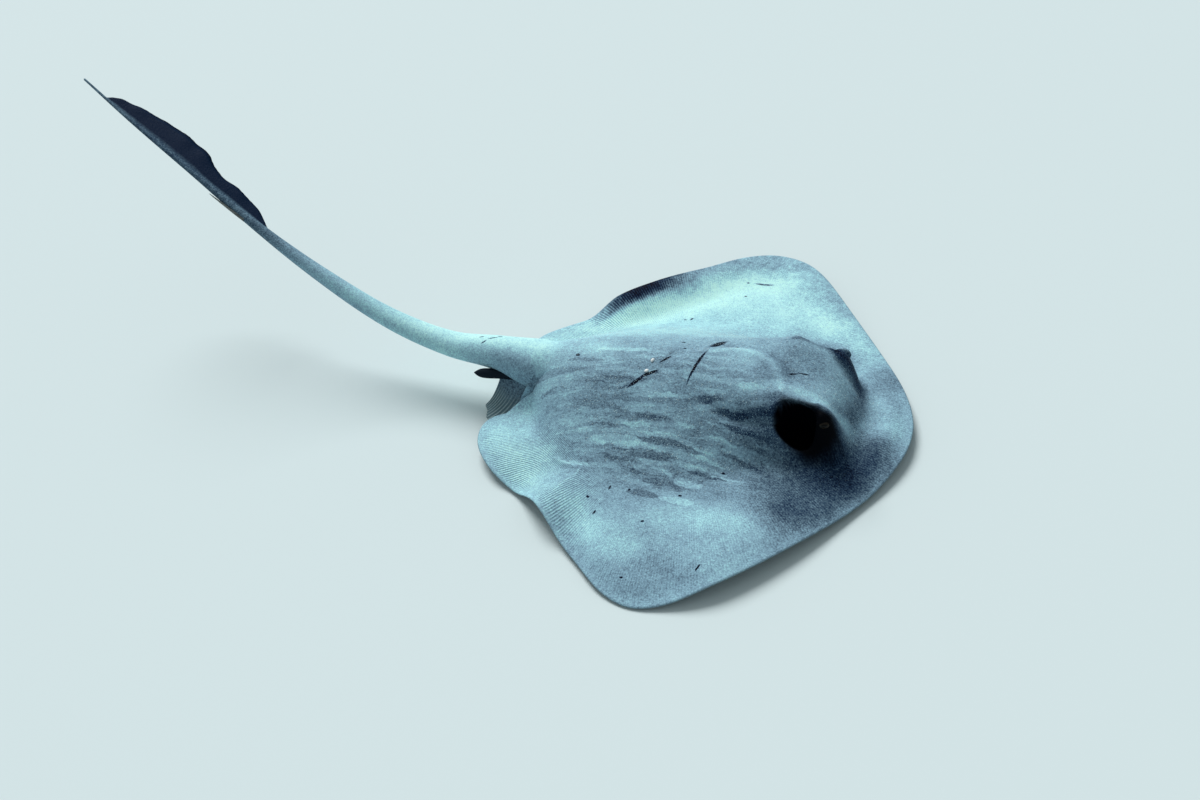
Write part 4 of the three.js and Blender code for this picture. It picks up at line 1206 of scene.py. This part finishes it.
def uneven_tone(tree, tone, ragged, known, noise):
    """Uneven pigment: streaks along the body, clouds, and a grain of light and dark granules."""
    along_body = add(tree, "ShaderNodeMapping", {"Vector": ragged, "Scale": (9, 75, 40)})
    streaks = add(tree, "ShaderNodeTexNoise", {
        "Vector": along_body, "Scale": 1.0, "Detail": 5, "Roughness": 0.6,
    })  # fmt: skip
    crisp = add(tree, "ShaderNodeMapRange", {"Value": streaks, "From Min": 0.5, "From Max": 0.53})
    back_only = add(tree, "ShaderNodeMath", {0: known["streaky"], 1: 0.1}, operation="MULTIPLY")
    for pattern, strength in (
        (crisp, back_only), (noise["clouds"], 0.24), (noise["grain"], 0.75),
        (noise["coarse"], 0.34), (noise["mottled"], known["mottle"]),
    ):  # fmt: skip
        centred = add(tree, "ShaderNodeMath", {0: pattern, 1: 0.5}, operation="SUBTRACT")
        tone = add(tree, "ShaderNodeMath", {0: centred, 1: strength, 2: tone}, operation="MULTIPLY_ADD")
    return tone


def fin_ribs(tree, known, noise):
    """Fin rays that show through the skin as fine ribs, from -1 between them to 1 on them."""
    turn_per_mm = 2 * math.pi / RAY_SPACING
    turns = add(tree, "ShaderNodeMath", {0: known["ray"], 1: turn_per_mm}, operation="MULTIPLY")
    shaken = add(tree, "ShaderNodeMath", {
        0: noise["coarse"], 1: 2.4, 2: turns,
    }, operation="MULTIPLY_ADD")  # fmt: skip
    wave = add(tree, "ShaderNodeMath", {0: shaken}, operation="SINE")
    return add(tree, "ShaderNodeMath", {0: wave, 1: known["ribs"]}, operation="MULTIPLY")


def skin_colour(tree, tone, openings, known, noise):
    """The back's pigment by its tone, and over it the colours of the parts that differ."""
    colour = add(tree, "ShaderNodeValToRGB", {0: tone})
    set_colours(colour, SKIN_COLOURS)
    # The pale belly has a grey border.
    cloudy = add(tree, "ShaderNodeMath", {
        0: noise["clouds"], 1: 0.16, 2: known["outward"],
    }, operation="MULTIPLY_ADD")  # fmt: skip
    border = add(tree, "ShaderNodeMapRange", {
        "Value": cloudy, "From Min": 0.9, "From Max": 1.0,
    }, interpolation_type="SMOOTHSTEP")  # fmt: skip
    belly = add(tree, "ShaderNodeMix", {
        0: border, 6: linear("#dcdfd8"), 7: linear("#75868e"),
    }, out=2, data_type="RGBA")  # fmt: skip
    # The tail is as dark below as above.
    off_tail = add(tree, "ShaderNodeMath", {0: known["tail"], 1: 0.01}, operation="LESS_THAN")
    on_belly = add(tree, "ShaderNodeMath", {0: known["under"], 1: off_tail}, operation="MULTIPLY")
    # The pelvic fins are paler on their pleats.
    pleats = add(tree, "ShaderNodeMapRange", {"Value": known["ray"], "From Min": 0.55, "To Max": 1.5})
    fin = add(tree, "ShaderNodeMix", {
        0: add(tree, "ShaderNodeMath", {0: pleats, 1: noise["coarse"]}, operation="MULTIPLY"),
        6: linear("#617880"), 7: linear("#afc3c4"),
    }, out=2, data_type="RGBA")  # fmt: skip
    for mask, over in (
        # The belly's openings are painted a dark reddish grey, as painted shade inside them.
        (on_belly, belly), (openings, linear("#5a4a4e")), (known["pelvic"], fin),
        (known["clasper"], linear("#18212b")), (known["fold"], linear("#071d36")),
        # The spiracles are painted near black, as their dark skin and painted shade, and so is the skin round
        # the right eye and spiracle, as painted shade.
        (known["dark"], linear("#020409")),
    ):  # fmt: skip
        colour = add(tree, "ShaderNodeMix", {0: mask, 6: colour, 7: over}, out=2, data_type="RGBA")
    return colour


def skin_material():
    """Wet ray skin: a thin mucus over fine dermal granules, which gives a soft broad sheen."""
    material, tree, surface = new_material("wet_ray_skin")
    here = add(tree, "ShaderNodeTexCoord", out="Object")
    flat = add(tree, "ShaderNodeVectorMath", {0: here, 1: (1, 1, 0)}, operation="MULTIPLY")
    known = {
        kind: add(tree, "ShaderNodeAttribute", attribute_name=kind, out="Fac")
        for kind in ("outward", "ray", "under", "dark", "tail", "fold", "pelvic", "clasper",
                     "tone", "ribs", "streaky", "mottle")
    }  # fmt: skip
    ragged = drifted(tree, drifted(tree, flat, 24, 13), 6, 7)
    below = marks(tree, flat, belly_openings(), 0.4)
    openings = add(tree, "ShaderNodeMath", {0: below, 1: known["under"]}, operation="MULTIPLY")
    tone = marked_tone(tree, flat, ragged, known)
    noise = {
        name: add(tree, "ShaderNodeTexNoise", {
            "Vector": here, "Scale": 1 / (size * MM), "Detail": detail, "Roughness": strength,
        })
        for name, (size, detail, strength) in SKIN_NOISES.items()
    }  # fmt: skip
    tone = uneven_tone(tree, tone, ragged, known, noise)
    ribs = fin_ribs(tree, known, noise)
    tone = add(tree, "ShaderNodeMath", {0: ribs, 1: 0.11, 2: tone}, operation="MULTIPLY_ADD")
    colour = skin_colour(tree, tone, openings, known, noise)
    tree.links.new(colour, surface.inputs["Base Color"])
    roughness = add(tree, "ShaderNodeMapRange", {"Value": noise["coarse"], "To Min": 0.46, "To Max": 0.66})
    tree.links.new(roughness, surface.inputs["Roughness"])
    surface.inputs["Specular IOR Level"].default_value = 0.03

    # Relief in millimetres: granules, wrinkles, fin rays and the openings of the belly.
    height = 0.0
    for pattern, rise in ((noise["grain"], 0.7), (noise["coarse"], 1.2), (ribs, 0.5), (openings, -3.0)):
        height = add(tree, "ShaderNodeMath", {0: pattern, 1: rise, 2: height}, operation="MULTIPLY_ADD")
    bump = add(tree, "ShaderNodeBump", {"Height": height, "Distance": MM, "Strength": 1.0})
    tree.links.new(bump, surface.inputs["Normal"])
    return material


def enamel_material():
    """Enamel of the denticles: as light or dark as the skin they stand on, a few of them brighter as painted
    glints.
    """
    material, tree, surface = new_material("denticle_enamel")
    tone = add(tree, "ShaderNodeAttribute", attribute_name="tone", out="Fac")
    glint_chance = add(tree, "ShaderNodeAttribute", attribute_name="glint_chance", out="Fac")
    # Painted glints: the denticles with the highest numbers are made lighter.
    glint = add(tree, "ShaderNodeMapRange", {"Value": glint_chance, "From Min": 0.8, "To Min": 0.0, "To Max": 0.34})
    lighter = add(tree, "ShaderNodeMath", {0: tone, 1: glint}, operation="ADD")
    ramp = add(tree, "ShaderNodeValToRGB", {0: lighter})
    set_colours(ramp, {0: "#060b13", 0.5: "#6d93a8", 1: "#e2fbf8"})
    tree.links.new(ramp, surface.inputs["Base Color"])
    surface.inputs["Roughness"].default_value = 0.45
    return material


def spiracle_material():
    """The lining of the breathing holes: black and matt, their dark skin together with painted shade, so that
    no light shows down there.
    """
    material, _, surface = new_material("spiracle_lining_and_shade")
    surface.inputs["Base Color"].default_value = linear("#020306")
    surface.inputs["Roughness"].default_value = 0.9
    surface.inputs["Specular IOR Level"].default_value = 0.0
    return material


def eye_material():
    """A wet ray's eye: a dark bronze iris with fine rays round a black oval pupil."""
    material, tree, surface = new_material("wet_eye")
    known = {
        kind: add(tree, "ShaderNodeAttribute", attribute_name=kind, out="Fac")
        for kind in ("gaze", "wide", "tall")
    }
    place = add(tree, "ShaderNodeCombineXYZ", {"X": known["wide"], "Y": known["tall"]})
    spin = add(tree, "ShaderNodeMath", {0: known["tall"], 1: known["wide"]}, operation="ARCTAN2")
    rays = add(tree, "ShaderNodeCombineXYZ", {
        "X": add(tree, "ShaderNodeMath", {0: spin, 1: 9.0}, operation="MULTIPLY"), "Y": known["gaze"],
    })  # fmt: skip
    fibre = add(tree, "ShaderNodeTexNoise", {"Vector": rays, "Scale": 1.6, "Detail": 3})
    iris = add(tree, "ShaderNodeMix", {
        0: fibre, 6: linear("#0b0a08"), 7: linear("#2a2319"),
    }, out=2, data_type="RGBA")  # fmt: skip
    squeezed = add(tree, "ShaderNodeVectorMath", {0: place, 1: (1.0, 1.7, 1.0)}, operation="MULTIPLY")
    reach = add(tree, "ShaderNodeVectorMath", {0: squeezed}, out="Value", operation="LENGTH")
    pupil = add(tree, "ShaderNodeMapRange", {"Value": reach, "From Min": 0.46, "From Max": 0.4})
    limbus = add(tree, "ShaderNodeMapRange", {"Value": known["gaze"], "From Min": 0.72, "From Max": 0.82})
    hidden = add(tree, "ShaderNodeMath", {0: pupil, 1: limbus}, operation="MAXIMUM")
    colour = add(tree, "ShaderNodeMix", {0: hidden, 6: iris, 7: linear("#030304")}, out=2, data_type="RGBA")
    tree.links.new(colour, surface.inputs["Base Color"])
    surface.inputs["Roughness"].default_value = 0.12
    surface.inputs["Specular IOR Level"].default_value = 0.12
    return material


def sting_material():
    """The sting: dense grey-brown bone with darker grooves along it, paler towards its point."""
    material, tree, surface = new_material("sting_bone")
    here = add(tree, "ShaderNodeTexCoord", out="Object")
    drawn = add(tree, "ShaderNodeMapping", {"Vector": here, "Scale": (60, 500, 300)})
    grooves = add(tree, "ShaderNodeTexNoise", {"Vector": drawn, "Scale": 1.0, "Detail": 4})
    along = add(tree, "ShaderNodeAttribute", attribute_name="along", out="Fac")
    paler = add(tree, "ShaderNodeMath", {0: along, 1: 0.35, 2: grooves}, operation="MULTIPLY_ADD")
    ramp = add(tree, "ShaderNodeValToRGB", {0: paler})
    set_colours(ramp, {0.35: "#23292e", 0.95: "#7e8380"})
    tree.links.new(ramp, surface.inputs["Base Color"])
    surface.inputs["Roughness"].default_value = 0.45
    bump = add(tree, "ShaderNodeBump", {"Height": grooves, "Distance": 0.3 * MM, "Strength": 0.6})
    tree.links.new(bump, surface.inputs["Normal"])
    return material


def pearl_material():
    """Pearl thorns: hard, smooth, slightly translucent enamel, greyer where it meets the skin."""
    material, tree, surface = new_material("pearl_enamel")
    here = add(tree, "ShaderNodeTexCoord", out="Object")
    worn = add(tree, "ShaderNodeTexNoise", {"Vector": here, "Scale": 1 / (1.5 * MM), "Detail": 4})
    height = add(tree, "ShaderNodeAttribute", attribute_name="height", out="Fac")
    clean = add(tree, "ShaderNodeMath", {0: worn, 1: 0.5, 2: height}, operation="MULTIPLY_ADD")
    ramp = add(tree, "ShaderNodeValToRGB", {0: clean})
    set_colours(ramp, {0.25: "#8fa4ac", 0.7: "#eef3f2"})
    tree.links.new(ramp, surface.inputs["Base Color"])
    surface.inputs["Roughness"].default_value = 0.25
    surface.inputs["Subsurface Weight"].default_value = 0.1
    surface.inputs["Subsurface Radius"].default_value = (2 * MM, 2 * MM, 2 * MM)
    return material


def floor_material():
    """A pale, matt studio floor."""
    material, _, surface = new_material("pale_floor")
    surface.inputs["Base Color"].default_value = linear("#cfdcdd")
    surface.inputs["Roughness"].default_value = 0.9
    return material


# ---------------------------------------------------------------- camera, floor and light
LENS, SENSOR = 42.0, 36.0
# Where the camera looks from and to, in degrees and metres.
VIEW = {
    "azimuth": 28.253, "elevation": 37.910, "distance": 2.739, "target": (-0.177, -0.033, 0.05),
    "roll": -13.078,
}  # fmt: skip
FLOOR_REACH = 30000
# The way to the lamp from the object, how wide the lamp looks from there, and its strength.
LAMP_WAY, LAMP_ANGLE, LAMP_STRENGTH = (-0.38, 0.55, 0.74), 0.58, 2.95


def look_from(azimuth, elevation, distance, target, roll):
    """A camera's place and turn, looking at a target from an angle, rolled about its own line."""
    az, el, turn = (math.radians(a) for a in (azimuth, elevation, roll))
    back = Vector((math.sin(az) * math.cos(el), -math.cos(az) * math.cos(el), math.sin(el)))
    right = Vector((math.cos(az), math.sin(az), 0))
    up = back.cross(right)
    across = right * math.cos(turn) + up * math.sin(turn)
    upward = up * math.cos(turn) - right * math.sin(turn)
    place = Vector(target) + back * distance
    rows = [(across[i], upward[i], back[i], place[i]) for i in range(3)]
    return Matrix((*rows, (0, 0, 0, 1)))


def make_camera():
    """The camera that the scene is seen through."""
    lens = bpy.data.cameras.new("camera")
    lens.lens = LENS
    lens.sensor_width = SENSOR
    camera = bpy.data.objects.new("camera", lens)
    bpy.context.scene.collection.objects.link(camera)
    camera.matrix_world = look_from(**VIEW)
    bpy.context.scene.camera = camera


def make_floor():
    """One wide square under everything, which isn't part of the object."""
    corners = [(FLOOR_REACH * x, FLOOR_REACH * y, 0) for x, y in ((-1, -1), (1, -1), (1, 1), (-1, 1))]
    floor = mesh_object("floor", corners, [np.array([[0, 1, 2, 3]])], floor_material())


def make_lights():
    """A soft sun from high on the left, a little from behind, and an even pale surrounding light."""
    lamp = bpy.data.lights.new("soft_lamp", "SUN")
    lamp.angle = LAMP_ANGLE
    lamp.energy = LAMP_STRENGTH
    holder = bpy.data.objects.new("soft_lamp", lamp)
    holder.rotation_euler = Vector(LAMP_WAY).normalized().to_track_quat("Z", "Y").to_euler()
    bpy.context.scene.collection.objects.link(holder)
    world = bpy.data.worlds.new("surroundings")
    world.use_nodes = True
    tree = world.node_tree
    background = tree.nodes["Background"]
    background.inputs["Color"].default_value = linear("#e4f0f4")
    # What the camera sees of it is brighter than what it casts on the object.
    seen = add(tree, "ShaderNodeLightPath", out="Is Camera Ray")
    strength = add(tree, "ShaderNodeMapRange", {"Value": seen, "To Min": 0.42, "To Max": 0.86})
    tree.links.new(strength, background.inputs["Strength"])
    bpy.context.scene.world = world


# ---------------------------------------------------------------- assembly
make_camera()
make_floor()
make_lights()
bpy.context.scene.view_settings.view_transform = "Standard"

skin, skin_points = make_skin(skin_material(), spiracle_material())
plan = skin.data.attributes.new("plan", "FLOAT_VECTOR", "POINT")
plan.data.foreach_set("vector", (skin_points * (MAP_SCALE, MAP_SCALE, 0) + MAP_MIDDLE).ravel())
FLESH = [
    "head", "trunk", "wing_left", "wing_right", "pelvic_fin_left", "pelvic_fin_right",
    "clasper_left", "clasper_right", "tail_base", "tail_middle", "tail_end", "tail_fold",
]  # fmt: skip
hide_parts(*FLESH)
pieces = [skin, make_pearls(skin_points, pearl_material())]
pieces.append(make_denticles("denticles", skin, enamel_material(), "granules"))
wet_eye = eye_material()
for side, sign in (("left", 1), ("right", -1)):
    eye = make_eye(f"eyeball_{side}", sign, wet_eye)
    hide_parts(f"eye_{side}")
    pieces.append(eye)
sting = make_sting(sting_material())
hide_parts("sting")
for piece in [*pieces, sting]:
    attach(piece, "root")
